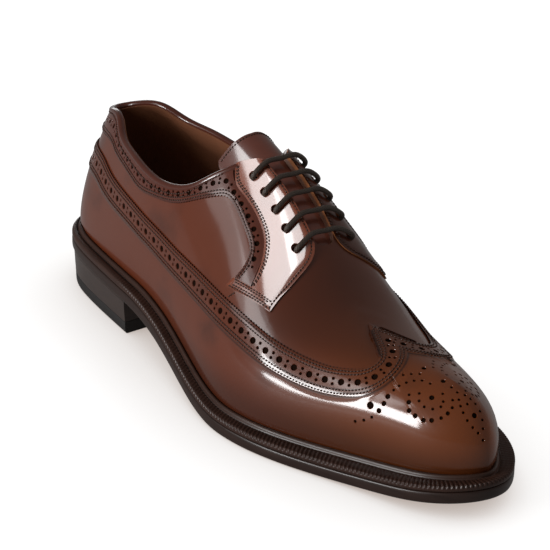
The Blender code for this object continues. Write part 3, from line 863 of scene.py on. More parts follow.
def brogued(a, t, height, repeat=HOLE_REPEAT, scale=1.0):
    """One big hole and a pair of small ones side by side in each repeat of a line."""
    holes = []
    for spot in zip(*paced(a, t, repeat, 0.0)):
        holes.append((*spot, height, BIG_HOLE * scale, BIG_SIDES, HOLE_DEEP))
    spots_a, spots_t = paced(a, t, repeat, 0.5)
    across = unit(np.cross(squarely(spots_a, spots_t), np.gradient(last(spots_a, spots_t, 0.0), axis=0)))
    for offset in (-PAIR_GAP * scale, PAIR_GAP * scale):
        for spot in zip(*moved(spots_a, spots_t, across * offset)):
            holes.append((*spot, height, SMALL_HOLE * scale, SMALL_SIDES, HOLE_DEEP))
    return holes


def seam_sides(a, t, width):
    """Inset line on the outer side and its fellow on the inner side."""
    return [inset_line(a, t, width, 1.0), inset_line(mirrored(a), t, width, -1.0)]


wing_holes = []
for line_a, line_t in seam_sides(wing_edge_a, wing_edge_t, HOLE_LINE):
    wing_holes += brogued(line_a, line_t, OVERLAY_TOP)

# Medallion: holes of the outer half of the toe's ornament in plan; the inner half mirrors
# them about the axis, and the last row of holes lies on the axis itself
MEDALLION = (
    # x, y, width
    (246.2, -23.1, 3.0), (250.8, -22.0, 2.0), (251.6, -20.1, 2.0), (251.6, -18.2, 2.1),
    (252.3, -15.7, 1.1), (253.1, -13.5, 1.1), (254.7, -10.9, 1.1), (256.7, -8.4, 1.1),
    (259.3, -6.2, 1.1), (263.2, -4.9, 1.1), (250.8, -9.6, 1.1), (253.1, -7.1, 1.1),
    (255.8, -4.7, 1.1), (268.5, -8.2, 2.1), (261.3, -14.6, 1.9), (263.3, -15.9, 1.9),
    (266.8, -15.3, 1.9), (270.8, -14.1, 1.9), (273.9, -12.2, 1.9), (276.8, -9.5, 1.4),
    (278.0, -7.0, 1.6), (278.0, -4.7, 1.2), (276.0, -3.0, 1.1), (259.5, -13.1, 1.1),
    (262.8, -10.4, 1.1), (264.9, -12.0, 1.1), (268.3, -11.9, 1.1), (271.9, -10.2, 1.1),
    (274.1, -7.7, 1.1), (273.5, -6.0, 1.1), (270.9, -4.3, 1.1), (277.7, -1.0, 1.1),
    (280.0, -1.9, 1.1), (282.4, -2.3, 1.1), (285.2, -2.2, 1.1), (287.8, -1.2, 1.1),
    (289.8, 0.2, 1.1), (241.8, -27.4, 1.2), (245.5, -25.7, 1.2), (248.6, -24.0, 1.2),
)
MEDALLION_AXIS = (254.0, -1.2, 0.075)
MEDALLION_MIDDLE = (
    # x, width
    (254.2, 2.0), (266.1, 2.0), (271.2, 1.1), (274.8, 1.1), (281.2, 1.1), (285.7, 2.2), (291.6, 1.2),
)
MEDALLION_SMALL = 1.5
MEDALLION_SIDES = 12
TOE_BACK = 0.72
TOE_LOW = 0.2
TOE_TOP = OVERLAY_TOP - STRIP_STEP
toe_a, toe_t = np.meshgrid(np.linspace(angle(TOE_BACK), mirrored(angle(TOE_BACK)), 240),
                           np.linspace(TOE_LOW, 1.0, 120))
toe_a, toe_t = toe_a.ravel(), toe_t.ravel()
toe_tree = tree_of(last(toe_a, toe_t, TOE_TOP) * (1.0, 1.0, 0.0))


def seen_from_above(x, y):
    """Place on the last under a plan point of the toe."""
    nearest = toe_tree.find((x, y, 0.0))[1]
    a, t = toe_a[nearest], toe_t[nearest]
    for _ in range(6):
        here = last(a, t, TOE_TOP)[:2]
        u = (last(a + SMALL, t, TOE_TOP)[:2] - here) / SMALL
        v = (last(a, t - SMALL, TOE_TOP)[:2] - here) / -SMALL
        move = np.linalg.solve(np.stack([u, v], axis=1) + 1e-6 * np.eye(2), np.array([x, y]) - here)
        a, t = a + move[0], min(t + move[1], 0.999)
    return a, t


def medallion_axis(x):
    """Sideways place of the ornament's axis."""
    start, height, slope = MEDALLION_AXIS
    return height + slope * (x - start)


def apart(holes):
    """Holes without those that would break into an earlier one."""
    spots = last(np.array([hole[0] for hole in holes]), np.array([hole[1] for hole in holes]), 0.0)
    kept = []
    for number, hole in enumerate(holes):
        gaps = [np.linalg.norm(spots[number] - spots[k]) - (hole[3] + holes[k][3]) / 2 for k in kept]
        if not gaps or min(gaps) > HOLE_WALL:
            kept.append(number)
    return [holes[k] for k in kept]


medallion = list(MEDALLION)
medallion += [(x, 2 * medallion_axis(x) - y, width) for x, y, width in MEDALLION]
medallion += [(x, medallion_axis(x), width) for x, width in MEDALLION_MIDDLE]
for x, y, width in medallion:
    sides = SMALL_SIDES if width < MEDALLION_SMALL else MEDALLION_SIDES
    wing_holes.append((*seen_from_above(x, y), TOE_TOP, width, sides, HOLE_DEEP))
punched(wing, apart(wing_holes))
note_rim(wing, last(wing_line_a, wing_line_t, OVERLAY_TOP))
smoothed(wing)
joined_to_shoe(wing, "upper_leather", "wing")

# Collar band
# Calf band round the collar, turned down behind the facings to their tabs. Its lower edge
# is gimped and double stitched and its middle is punched.
BAND = (
    # low station, low share, top station, top share
    (0.0, 0.565, 0.0, 0.710),
    (0.03, 0.560, 0.03, 0.710),
    (0.09, 0.529, 0.081, 0.666),
    (0.130, 0.485, 0.127, 0.586),
    (0.191, 0.433, 0.197, 0.521),
    (0.240, 0.395, 0.259, 0.485),
    (0.277, 0.389, 0.300, 0.485),
    (0.327, 0.416, 0.340, 0.512),
    (0.368, 0.466, 0.375, 0.568),
    (0.401, 0.532, 0.403, 0.650),
    (0.431, 0.598, 0.428, 0.738),
    (0.455, 0.640, 0.447, 0.714),
    (0.484, 0.638, 0.475, 0.706),
    (0.509, 0.624, 0.508, 0.707),
    (0.531, 0.609, 0.535, 0.699),
    (0.544, 0.580, 0.556, 0.678),
    (0.546, 0.529, 0.570, 0.632),
    (0.542, 0.490, 0.575, 0.575),
    (0.539, 0.464, 0.577, 0.519),
)
BAND_MARKS = np.array((0.0, 0.09, 0.18, 0.28, 0.38, 0.5, 0.62, 0.74, 0.87, 1.0))
BAND_BITE = 0.05
BAND_TUCK = 0.65
BAND_FINE = 2000
band_curves = table_curves(BAND, (0, 2))
band_fine = np.linspace(0, len(BAND) - 1 + BAND_TUCK, BAND_FINE)
band_edge_a = np.clip(band_curves[0](band_fine), 0.0, None)
band_edge_t = band_curves[1](band_fine)
band_rows = gimped(band_edge_a, band_edge_t, band_fine)


def ruled(rows, marks, curves):
    """Angles and shares ruled between the two edges of a table, below the wall's end."""
    low_a, low_t, top_a, top_t = [curve(rows) for curve in curves]
    low_a, top_a = np.clip(low_a, 0.0, None), np.clip(top_a, 0.0, None)
    top_t = np.minimum(top_t, wall_end(top_a))
    return low_a + (top_a - low_a) * marks, low_t + (top_t - low_t) * marks


band_marks = np.repeat(BAND_MARKS[:, None], len(band_rows), axis=1)
band_marks[0] = BAND_BITE * (np.arange(len(band_rows)) % 2)
half_a, half_t = ruled(band_rows, band_marks, band_curves)
band_a = np.concatenate([mirrored(half_a[:, ::-1]), half_a[:, 1:] + 2 * math.pi], axis=1)
band_t = np.concatenate([half_t[:, ::-1], half_t[:, 1:]], axis=1)
band_line_a = np.concatenate([mirrored(band_edge_a[::-1]), band_edge_a[1:] + 2 * math.pi])
band_line_t = np.concatenate([band_edge_t[::-1], band_edge_t[1:]])
band_places = last(band_a, band_t, 0.0)
band_away = distances(band_places.reshape(-1, 3), last(band_line_a, band_line_t, 0.0))
band_height = OVERLAY_TOP - EDGE_DROP * (1 - risen(0.0, EDGE_WIDTH, band_away.reshape(band_a.shape)))
band = sheet_of("collar_band_leather", last(band_a, band_t, band_height))
BAND_BROWN = (0.105, 0.022, 0.010, 1.0)
# Painted shadow at the gimped edge; painted shade with some polish in the furrows of the seams and the hole
# line
BAND_LINES = (
    (0.0, 1.0), (0.045, 0.2), (0.06, 0.15), (0.075, 0.7), (0.095, 0.15), (0.14, 0.15),
    (0.156, 0.7), (0.18, 0.12), (0.3, 0.1), (0.4, 0.25), (0.5, 0.1), (1.0, 0.1),
)
clad(band, polished("collar_band_calf", BAND_LINES, quarter=BAND_BROWN), raw_edge, hole_painted_shade)
thickened(band, OVERLAY_THICK)
BAND_MIDDLE = 0.52
BAND_REPEAT = 7.0
BAND_HOLES = 0.85
UNDER_TAB = 150
middle_a, middle_t = ruled(band_fine[:-UNDER_TAB], BAND_MIDDLE, band_curves)
band_holes = brogued(middle_a, middle_t, OVERLAY_TOP, BAND_REPEAT, BAND_HOLES)
band_holes += brogued(mirrored(middle_a), middle_t, OVERLAY_TOP, BAND_REPEAT, BAND_HOLES)[1:]
punched(band, band_holes)
note_rim(band, last(band_line_a, band_line_t, OVERLAY_TOP))
smoothed(band)
joined_to_shoe(band, "band_leather", "collar_band")

# Eyelet facings
# Two calf facings sewn over the quarters, one on each side of the throat, each with five
# plain eyelets and a stitched tab at its foot.
FACING = (
    # rear station, rear share, front station, front share
    (0.436, 0.775, 0.466, 0.905),
    (0.455, 0.722, 0.487, 0.907),
    (0.479, 0.715, 0.513, 0.911),
    (0.512, 0.716, 0.545, 0.915),
    (0.540, 0.707, 0.576, 0.919),
    (0.561, 0.684, 0.606, 0.922),
    (0.575, 0.638, 0.626, 0.910),
    (0.580, 0.600, 0.637, 0.865),
    (0.582, 0.566, 0.640, 0.790),
    (0.582, 0.540, 0.638, 0.687),
    (0.581, 0.524, 0.633, 0.600),
    (0.580, 0.510, 0.629, 0.514),
    (0.540, 0.470, 0.531, 0.417),
)
FACING_TOP = 2.3
FACING_THICK = 1.7
FACING_LAP = -0.06
FACING_DROP = 0.2
FACING_EDGE = 1.6
FACING_FINE = 1500
FACING_ROWS = 193
FACING_COLUMNS = 29
FOOT_POINTS = 60
FOLD_DROP = 0.5
FOLD_WIDTH = 3.6
EYELET_WIDTH = 4.0
EYELET_SIDES = 20
EYELET_DEEP = 5.0
EYELET_GROUND = 2.2
EYELET_PAIRS = 5
EYELET_FIRST = 0.474
EYELET_LAST = 0.608
EYELET_SHARE = 0.797
eyelets = np.linspace(angle(EYELET_FIRST), angle(EYELET_LAST), EYELET_PAIRS)
TAB_ROW = 10
facing_smooth = table_curves(FACING[:TAB_ROW + 1], (0, 2))
facing_rows = np.arange(len(FACING))


def cornered(key):
    """Curve of a column of the facing's table, straight from corner to corner at the tab."""
    marks = [angle(row[key]) if key in (0, 2) else row[key] for row in FACING]

    def value(rows):
        return np.where(np.asarray(rows) <= TAB_ROW, facing_smooth[key](np.minimum(rows, TAB_ROW)),
                        np.interp(rows, facing_rows, marks))

    return value


facing_curves = [cornered(key) for key in range(4)]
facing_fine = np.linspace(0, len(FACING) - 1, FACING_FINE)
# Painted shadow at the edge; painted shade with some polish in the seams' furrows
FACING_LINES = (
    (0.0, 0.35), (0.05, 0.05), (0.08, 0.05), (0.1, 0.45), (0.125, 0.08), (0.16, 0.08), (0.5, 0.0),
    (1.0, 0.0),
)
# Darker copy of the quarters' calf for the facings: painted shade that offsets the lights falling on the
# outer facing alone
FACING_SHADE_BROWN = (0.072, 0.017, 0.007, 1.0)
facing_calf = polished("facing_calf", FACING_LINES, quarter=FACING_SHADE_BROWN)
# Painted highlight: the facings' folded edges are coloured as orange-lit edges, far brighter on the inner
# side
FOLDED_EDGE_HIGHLIGHT = {"lateral": (0.10, 0.034, 0.012, 1.0), "medial": (0.34, 0.125, 0.048, 1.0)}
facing_along = np.linspace(0, len(FACING) - 1, FACING_ROWS)


def rear_lap(rows):
    """Share by which the facing's rear edge laps over the band, none at the tab."""
    return FACING_LAP * np.clip(TAB_ROW - rows, 0.0, 1.0)


facing_marks = np.linspace(0, 1, FACING_COLUMNS)[:, None]
facing_marks = rear_lap(facing_along) + (1 - rear_lap(facing_along)) * facing_marks
facing_a, facing_t = ruled(facing_along, facing_marks, facing_curves)


def facing_rim(turn):
    """Closed line round a facing."""
    rear_a, rear_t = ruled(facing_fine, rear_lap(facing_fine), facing_curves)
    front_a, front_t = ruled(facing_fine, 1.0, facing_curves)
    side = np.linspace(0.0, 1.0, FOOT_POINTS)
    foot_a, foot_t = ruled(np.full(FOOT_POINTS, len(FACING) - 1.0), side, facing_curves)
    a = np.concatenate([rear_a, foot_a, front_a[::-1]])
    return last(turn(a), np.concatenate([rear_t, foot_t, front_t[::-1]]), FACING_TOP)


eyelet_holes = []
for name, turn in SIDES.items():
    line = facing_rim(turn)
    flat_places = last(turn(facing_a), facing_t, FACING_TOP).reshape(-1, 3)
    away = distances(flat_places, line).reshape(facing_a.shape)
    height = FACING_TOP - FACING_DROP * (1 - risen(0.0, FACING_EDGE, away))
    front_a, front_t = ruled(facing_fine[facing_fine < TAB_ROW + 1], 1.0, facing_curves)
    front_away = distances(flat_places, last(turn(front_a), front_t, FACING_TOP))
    height -= FOLD_DROP * (1 - risen(0.0, FOLD_WIDTH, front_away.reshape(facing_a.shape)))
    places = last(turn(facing_a), facing_t, height)
    facing = sheet_of(f"facing_{name}_leather", places if name == "lateral" else places[:, ::-1])
    clad(facing, facing_calf, plain_leather(f"folded_edge_{name}", FOLDED_EDGE_HIGHLIGHT[name], 0.5, shine=0.15),
         hole_painted_shade)
    thickened(facing, FACING_THICK)
    holes = [(turn(a), EYELET_SHARE, FACING_TOP, EYELET_WIDTH, EYELET_SIDES, EYELET_DEEP) for a in eyelets]
    punched(facing, holes)
    note_rim(facing, line)
    smoothed(facing)
    joined_to_shoe(facing, "upper_leather", f"facing_{name}")
    eyelet_holes += [(a, t, UPPER_TOP, width, sides, EYELET_GROUND) for a, t, _, width, sides, _ in holes]
punched(upper, eyelet_holes)
smoothed(upper)
note_rim(upper, wing_line)

# Seams
# Waxed dark brown thread in short tight lockstitches along the edges of the overlays, round
# the tabs, below the top line and across the tongue.
STITCH_PITCH = 1.6
STITCH_LENGTH = 1.35
STITCH_RADIUS = 0.34
STITCH_SLANT = 0.12
STITCH_SINK = 0.15
STITCH_RISE = 0.1
STITCH_SHOULDER = 0.6
SEAM_POINTS = 400
stitch_rows = []


def sewn(a, t, height):
    """Places, ways and outs of the stitches along a line, unless it is too short."""
    if len(a) < 4:
        return
    spots_a, spots_t = paced(a, t, STITCH_PITCH)
    if len(spots_a) < 3:
        return
    spots = last(spots_a, spots_t, height)
    way = np.gradient(spots, axis=0)
    stitch_rows.append((spots, way, squarely(spots_a, spots_t)))


def sewn_twice(a, t, height):
    """The same seam on both sides of the shoe."""
    sewn(a, t, height)
    sewn(mirrored(a), t, height)


EDGE_SEAMS = (
    # edge's angles and shares, sink of the first seam, distances of the seams from the edge
    (wing_edge_a, wing_edge_t, 0.12, (1.5, 3.0, 9.5, 11.0)),
    (band_edge_a, band_edge_t, 0.15, (1.2, 2.5)),
)
for seam_a, seam_t, sink, widths in EDGE_SEAMS:
    for width in widths:
        for line_a, line_t in seam_sides(seam_a, seam_t, width):
            sewn(line_a, line_t, OVERLAY_TOP - (sink if width == widths[0] else 0.0))
TOP_SEAM_FRONT = 0.425
TOP_SEAM_DOWN = 0.032
top_a = np.linspace(-angle(TOP_SEAM_FRONT), angle(TOP_SEAM_FRONT), 2 * SEAM_POINTS)
sewn(top_a, wall_end(top_a) - TOP_SEAM_DOWN, OVERLAY_TOP)
FACING_SEAMS = (
    # first row, last row, share across the facing, sink
    (0.3, 10.95, 0.925, 0.17), (0.2, 10.5, 0.0, 0.0), (0.2, 10.6, 0.05, 0.0),
)
for first, final, share, sink in FACING_SEAMS:
    sewn_twice(*ruled(np.linspace(first, final, SEAM_POINTS), share, facing_curves), FACING_TOP - sink)
TAB = ((0.531, 0.417), (0.629, 0.514), (0.540, 0.470), (0.632, 0.562))
TAB_BOXES = (
    # left, right, foot, top, in shares of the tab
    (0.05, 0.93, 0.17, 0.86), (0.10, 0.885, 0.38, 0.66),
)
TAIL_START = (0.2, -0.1)
TAIL_END = (-0.02, 0.396)
TONGUE_SEAM_HALF = 0.93
TONGUE_SEAM_ROW = 0.62


def on_tab(along, up):
    """Angles and shares of places on the tab, from its rear foot corner."""
    low_rear, low_front, top_rear, top_front = [np.array(corner) for corner in TAB]
    along, up = along[:, None], up[:, None]
    spots = (low_rear * (1 - along) + low_front * along) * (1 - up)
    spots = spots + (top_rear * (1 - along) + top_front * along) * up
    return np.arccos(1 - 2 * spots[:, 0]), spots[:, 1]


side = np.linspace(0.0, 1.0, FOOT_POINTS)
for left, right, foot, top in TAB_BOXES:
    for x0, y0, x1, y1 in ((left, top, left, foot), (left, foot, right, foot),
                           (right, foot, right, top), (right, top, left, top)):
        sewn_twice(*on_tab(x0 + (x1 - x0) * side, y0 + (y1 - y0) * side), FACING_TOP)
tail_a, tail_t = on_tab(*np.array(TAIL_START)[:, None])
sewn_twice(tail_a + TAIL_END[0] * side, tail_t + (TAIL_END[1] - tail_t) * side, UPPER_TOP)
tongue_seam = np.linspace(-TONGUE_SEAM_HALF, TONGUE_SEAM_HALF, SEAM_POINTS // 2)
tongue_seam_a = np.full(len(tongue_seam), float(tongue_along(TONGUE_SEAM_ROW)))
tongue_seam_a = np.where(tongue_seam > 0, mirrored(tongue_seam_a), tongue_seam_a)
tongue_seam_t = 1 - np.abs(tongue_seam) * (1 - float(tongue_edge(TONGUE_SEAM_ROW)))
sewn(tongue_seam_a, tongue_seam_t, TONGUE_TOP)


def stitches_of(name, rows):
    """All stitches as one mesh, each a small spindle of six sides."""
    spots, way, out = [np.concatenate([row[k] for row in rows]) for k in range(3)]
    way = unit(way)
    out = unit(out - way * (out * way).sum(1, keepdims=True))
    beside = np.cross(out, way)
    way, beside = way + beside * STITCH_SLANT, beside - way * STITCH_SLANT
    turns = np.arange(6) * math.pi / 3
    ring = np.stack([np.zeros(6), np.cos(turns), np.sin(turns)], axis=1) * STITCH_RADIUS
    half = STITCH_LENGTH / 2
    shoulder = half * STITCH_SHOULDER
    shape = np.concatenate([[[-half, 0, -STITCH_SINK]], ring + (-shoulder, 0, STITCH_RISE),
                            ring + (shoulder, 0, STITCH_RISE), [[half, 0, -STITCH_SINK]]])
    points = (spots[:, None] + shape[None, :, :1] * way[:, None] + shape[None, :, 1:2] * beside[:, None]
              + shape[None, :, 2:] * out[:, None])
    faces = []
    for k in range(6):
        on = (k + 1) % 6
        faces += [(0, 1 + on, 1 + k), (1 + k, 1 + on, 7 + on), (1 + k, 7 + on, 7 + k), (13, 7 + k, 7 + on)]
    every = np.array(faces)[None] + 14 * np.arange(len(spots))[:, None, None]
    piece = piece_of(name, points.reshape(-1, 3), every.reshape(-1, 3))
    piece.data.shade_smooth()
    return piece


def speckled(name, scale, tones, roughness, strength, distance):
    """Material of two tones in fine specks, which are also its bumps."""
    material, tree, surface, place = new_material(name)
    specks = node(tree, "TexNoise", {"Vector": place, "Scale": scale}).outputs["Fac"]
    fed(tree, surface, {"Base Color": mixed(tree, specks, *tones), "Roughness": roughness})
    bumped(tree, surface, specks, strength, distance)
    return material


THREAD_BROWN = (0.060, 0.020, 0.010, 1.0)
THREAD_TWIST = 1400.0
stitches = stitches_of("seam_stitches", stitch_rows)
clad(stitches, speckled("seam_thread", THREAD_TWIST, shades(THREAD_BROWN, 0.6, 1.0), 0.45, 0.4, 0.2))
joined_to_shoe(stitches, "upper_leather")

# Insole
# Leather insole board inside the welt, seen through the collar; the solid's own shape
# stays and gets a leather finish.
INSOLE_TAN = (0.24, 0.12, 0.062, 1.0)
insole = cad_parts["insole"]
insole.data.materials.clear()
clad(insole, plain_leather("insole_leather", INSOLE_TAN, 0.55))

# Storm welt
# Strip of sole leather sewn round the upper. Its inner edge stands up as a bead against
# the upper and its outer corner is notched with a hot wheel.
WELT_LEDGE = 4.0
NOTCH_PITCH = 2.0
NOTCH_COLUMNS = 6
NOTCH_DEPTH = 0.6
NOTCH_SLANT = 0.35
NOTCH_BREAST = (0.20, 0.30)
NOTCH_INWARD = 0.5
RING_FINE = 4000
WELT_PROFILE = (
    # reach share, inset, height, share of the notches
    (0.0, 0.4, 0.0, 0.0), (0.0, 0.1, 0.35, 0.0), (0.0, 0.0, 0.8, 0.0), (0.0, 0.0, 1.5, 0.0),
    (0.0, 0.0, 1.9, 0.5), (0.0, 0.1, 2.4, 1.0), (0.0, 0.35, 2.8, 1.0), (0.0, 0.55, 3.05, 1.0),
    (0.15, -0.07, 3.2, 1.0), (0.4, -1.11, 3.35, 1.0), (0.7, -2.36, 3.45, 1.0), (1.0, -3.6, 3.45, 0.7),
    (1.0, -3.3, 3.2, 0.0), (1.0, -3.0, 3.0, 0.0), (1.0, -2.75, 3.2, 0.0), (1.0, -2.65, 3.9, 0.0),
    (1.0, -2.45, 4.5, 0.0), (1.0, -2.05, 5.0, 0.0), (1.0, -1.55, 5.2, 0.0), (1.0, -1.05, 5.0, 0.0),
    (1.0, -0.5, 4.4, 0.0), (1.0, 0.0, 4.0, 0.0), (1.0, WELT_LEDGE, WELT_THICK, 0.0),
    (1.0, WELT_LEDGE, 0.0, 0.0), (0.0, 0.4, 0.0, 0.0),
)
ring_fine = np.linspace(0, 2 * math.pi, RING_FINE)
ring_run = run_of(np.stack([edge_x(ring_fine), edge_y(ring_fine)], axis=1))
notches = round(ring_run[-1] / NOTCH_PITCH)
welt_a = np.interp(np.linspace(0, ring_run[-1], notches * NOTCH_COLUMNS + 1), ring_run, ring_fine)
notch_fade = risen(*NOTCH_BREAST, edge_x(welt_a) / LENGTH) * NOTCH_DEPTH
welt_rows = []
for share, inset, height, notched in WELT_PROFILE:
    away = share * reach_at(fold(welt_a)) + inset
    turn = np.arange(len(welt_a)) / NOTCH_COLUMNS + away * NOTCH_SLANT / NOTCH_PITCH
    notch = notched * notch_fade * (0.5 - 0.5 * np.cos(2 * math.pi * turn))
    x, y, _, _ = rim(welt_a, away + notch * NOTCH_INWARD)
    welt_rows.append(np.stack([x, y, welt_foot(x) + height - notch], axis=-1))
welt = sheet_of("storm_welt", np.array(welt_rows), closed=True)
smoothed(welt, 50.0)


def sole_leather(name, colour, roughness, coat, streaks=(60.0, 60.0, 700.0)):
    """Inked and waxed leather edge: dark, satin, with faint layers and rub marks."""
    material, tree, surface, place = new_material(name)
    turn = node(tree, "Mapping", {"Vector": place, "Scale": streaks}).outputs["Vector"]
    layers = node(tree, "TexNoise", {"Vector": turn, "Scale": 1.0, "Detail": 4.0}).outputs["Fac"]
    inputs = {"Value": layers, "To Min": roughness - 0.06, "To Max": roughness + 0.12}
    rough = node(tree, "MapRange", inputs).outputs["Result"]
    fed(tree, surface, {"Base Color": mixed(tree, layers, *shades(colour, 0.55, 1.6)), "Roughness": rough,
                        "Specular IOR Level": 0.3, "Coat Weight": coat, "Coat Roughness": 0.2})
    bumped(tree, surface, layers, 0.25, 0.2)
    return material


WELT_BROWN = (0.034, 0.014, 0.009, 1.0)
clad(welt, sole_leather("welt_leather", WELT_BROWN, 0.40, 0.12))
joined_to_shoe(welt, "sole_leather", "welt")

# Outsole
# One layer of oak-bark sole leather, stitched to the welt, trimmed with rounded corners
# and inked dark on its edge.
OUTSOLE_PROFILE = (
    # inset, share of the thickness
    (8.0, 0.0), (2.0, 0.0), (0.9, 0.02), (0.35, 0.09), (0.08, 0.2), (0.0, 0.35), (0.0, 0.75),
    (0.08, 0.88), (0.35, 0.97), (0.8, 1.0), (8.0, 1.0),
)
SOLE_COLUMNS = 480
SOLE_MIDDLE_END = 16.0
SOLE_INK = (0.022, 0.010, 0.007, 1.0)
SOLE_TAN = (0.30, 0.17, 0.085, 1.0)
BOTTOM_TILT = -0.93
half_run = np.interp(math.pi, ring_fine, ring_run)
sole_half = np.interp(np.linspace(0, half_run, SOLE_COLUMNS // 2 + 1), ring_run, ring_fine)
sole_a = np.concatenate([sole_half, mirrored(sole_half[-2::-1])])


def sole_middle(height_at):
    """Row of points along the middle of the sole, the same from both sides."""
    x = SOLE_MIDDLE_END + edge_x(sole_a) * (1 - 2 * SOLE_MIDDLE_END / LENGTH)
    a = np.arccos(1 - 2 * x / LENGTH)
    return np.stack([x, (edge_y(a) + edge_y(mirrored(a))) / 2, height_at(x)], axis=-1)


outsole_rows = [sole_middle(tread_z)]
for inset, share in OUTSOLE_PROFILE:
    x, y, _, _ = rim(sole_a, inset)
    outsole_rows.append(np.stack([x, y, tread_z(x) + OUTSOLE_THICK * share], axis=-1))
outsole_rows.append(sole_middle(lambda x: tread_z(x) + OUTSOLE_THICK))
outsole = sheet_of("leather_outsole", np.array(outsole_rows), closed=True)
smoothed(outsole, 50.0)
clad(outsole, sole_leather("sole_edge_ink", SOLE_INK, 0.36, 0.25),
     plain_leather("sole_bottom_leather", SOLE_TAN, 0.5))
for face in outsole.data.polygons:
    if face.normal.z < BOTTOM_TILT:
        face.material_index = 1
joined_to_shoe(outsole, "sole_leather", "outsole")

# Heel
# Block of glued and pegged leather lifts under the seat, its side scoured, inked and
# waxed, on a black rubber top piece nailed to its foot.
TOP_PIECE_THICK = 6.0
HEEL_COLUMNS = 200
BREAST_COLUMNS = 60
heel_front = angle(BREAST / LENGTH)
heel_ring_a = np.linspace(-heel_front, heel_front, HEEL_COLUMNS)


def heel_ring(inset):
    """Closed plan of the heel: round the back, then straight across the breast."""
    x, y, _, _ = rim(heel_ring_a, inset)
    x = np.minimum(x, BREAST)
    plan = np.stack([x, y], axis=1)
    return np.concatenate([plan, np.linspace(plan[-1], plan[0], BREAST_COLUMNS)[1:]])


HEEL_PROFILE = (
    # inset, share of the height
    (1.75, 0.0), (1.6, 0.015), (1.58, 0.1), (1.5, 0.2), (1.4, 0.3), (1.32, 0.4), (1.25, 0.5),
    (1.18, 0.6), (1.1, 0.7), (1.03, 0.8), (0.97, 0.9), (0.93, 0.985), (1.05, 1.0),
)
TOP_PIECE_PROFILE = (
    (3.2, 0.0), (2.5, 0.04), (2.1, 0.12), (1.9, 0.25), (1.75, 0.6), (1.7, 0.95), (1.85, 1.0),
)
# Inked heel colour, lightened in part as a painted sheen standing for the bright floor's reflection
HEEL_INK_AND_SHEEN = (0.034, 0.021, 0.017, 1.0)
HEEL_STREAKS = (90.0, 90.0, 420.0)
RUBBER_TONES = ((0.009, 0.008, 0.008, 1.0), (0.020, 0.017, 0.016, 1.0))
RUBBER_STIPPLE = 900.0


def heel_layer(name, profile, foot, top_at):
    """Layer of the heel from its foot up to a height, drawn through a profile."""
    rows = []
    for inset, share in profile:
        plan = heel_ring(inset)
        rows.append(np.column_stack([plan, foot + (top_at(plan[:, 0]) - foot) * share]))
    piece = sheet_of(name, np.array(rows), closed=True)
    smoothed(piece)
    return piece


heel = heel_layer("heel_lifts", HEEL_PROFILE, TOP_PIECE_THICK + GAP, lambda x: tread_z(x) - GAP)
clad(heel, sole_leather("heel_lift_ink_and_sheen", HEEL_INK_AND_SHEEN, 0.38, 0.5, HEEL_STREAKS))
joined_to_shoe(heel, "sole_leather", "heel_stack")
top_piece = heel_layer("rubber_top_piece", TOP_PIECE_PROFILE, 0.0, lambda x: np.full(len(x), TOP_PIECE_THICK))
clad(top_piece, speckled("top_piece_rubber", RUBBER_STIPPLE, RUBBER_TONES, 0.6, 0.3, 0.15))
joined_to_shoe(top_piece, "top_piece_rubber", "top_piece")

# Lace
# One waxed round cotton lace, braided, in five straight bars; each bar comes up through
# an eyelet, crosses the throat and goes down through the eyelet opposite.
LACE_WIDTH = 2.4
LACE_CLEAR = 0.55
LACE_BEND = 0.045
LACE_POINTS = 70
LACE_SIDES = 14
LACE_END = -2.3
LACE_LEAN = 0.004
LACE_RISE = 0.6
LACE_TONES = ((0.014, 0.010, 0.008, 1.0), (0.066, 0.046, 0.034, 1.0))
STRANDS_ALONG = 34.0
STRANDS_ROUND = 5.0


def above(a, t, height):
    """Point squarely above the last."""
    a, t = np.array(float(a)), np.array(float(t))
    return last(a, t, 0.0) + squarely(a, t) * height


def lace_material(name):
    """Waxed braid: slanting strands along the lace, dark brown and half dull."""
    material, tree, surface, _ = new_material(name)
    flat = node(tree, "UVMap", {}, uv_map="UVMap").outputs["UV"]
    strands = {}
    for number, around in enumerate((STRANDS_ROUND, -STRANDS_ROUND)):
        way = (STRANDS_ALONG * 2 * math.pi, around * 2 * math.pi, 0.0)
        turn = node(tree, "VectorMath", {0: flat, 1: way}, operation="DOT_PRODUCT").outputs["Value"]
        strands[number] = node(tree, "Math", {0: turn}, operation="SINE").outputs[0]
    braid = node(tree, "Math", strands, operation="MAXIMUM").outputs[0]
    tone = node(tree, "MapRange", {"Value": braid, "From Min": -1.0}).outputs["Result"]
    fed(tree, surface, {"Base Color": mixed(tree, tone, *LACE_TONES), "Roughness": 0.5})
    bumped(tree, surface, tone, 0.5, 0.25)
    return material


braided = lace_material("waxed_lace")
for number, a in enumerate(eyelets, start=1):
    radius = LACE_WIDTH / 2
    over = FACING_TOP + radius + LACE_CLEAR
    halves = []
    for side in (a, mirrored(a)):
        halves.append([above(side, EYELET_SHARE, LACE_END), above(side, EYELET_SHARE, LACE_RISE),
                       above(side, EYELET_SHARE + LACE_LEAN, FACING_TOP + LACE_RISE),
                       above(side, EYELET_SHARE + LACE_BEND, over),
                       above(side, wall_end(side), over)])
    middle = (halves[0][-1] + halves[1][-1]) / 2
    route = np.array(halves[0] + [middle] + halves[1][::-1])
    marks = run_of(route)
    stops = np.linspace(0.0, marks[-1], LACE_POINTS)
    path = np.stack([curve_through(marks, route[:, k])(stops) for k in range(3)], axis=-1)
    bar = tube(f"lace_strand_{number}", path, radius, LACE_SIDES, (1.0, 0.0, 0.0))
    clad(bar, braided)
    joined_to_shoe(bar, "lace_cord", f"lace_bar_{number}")

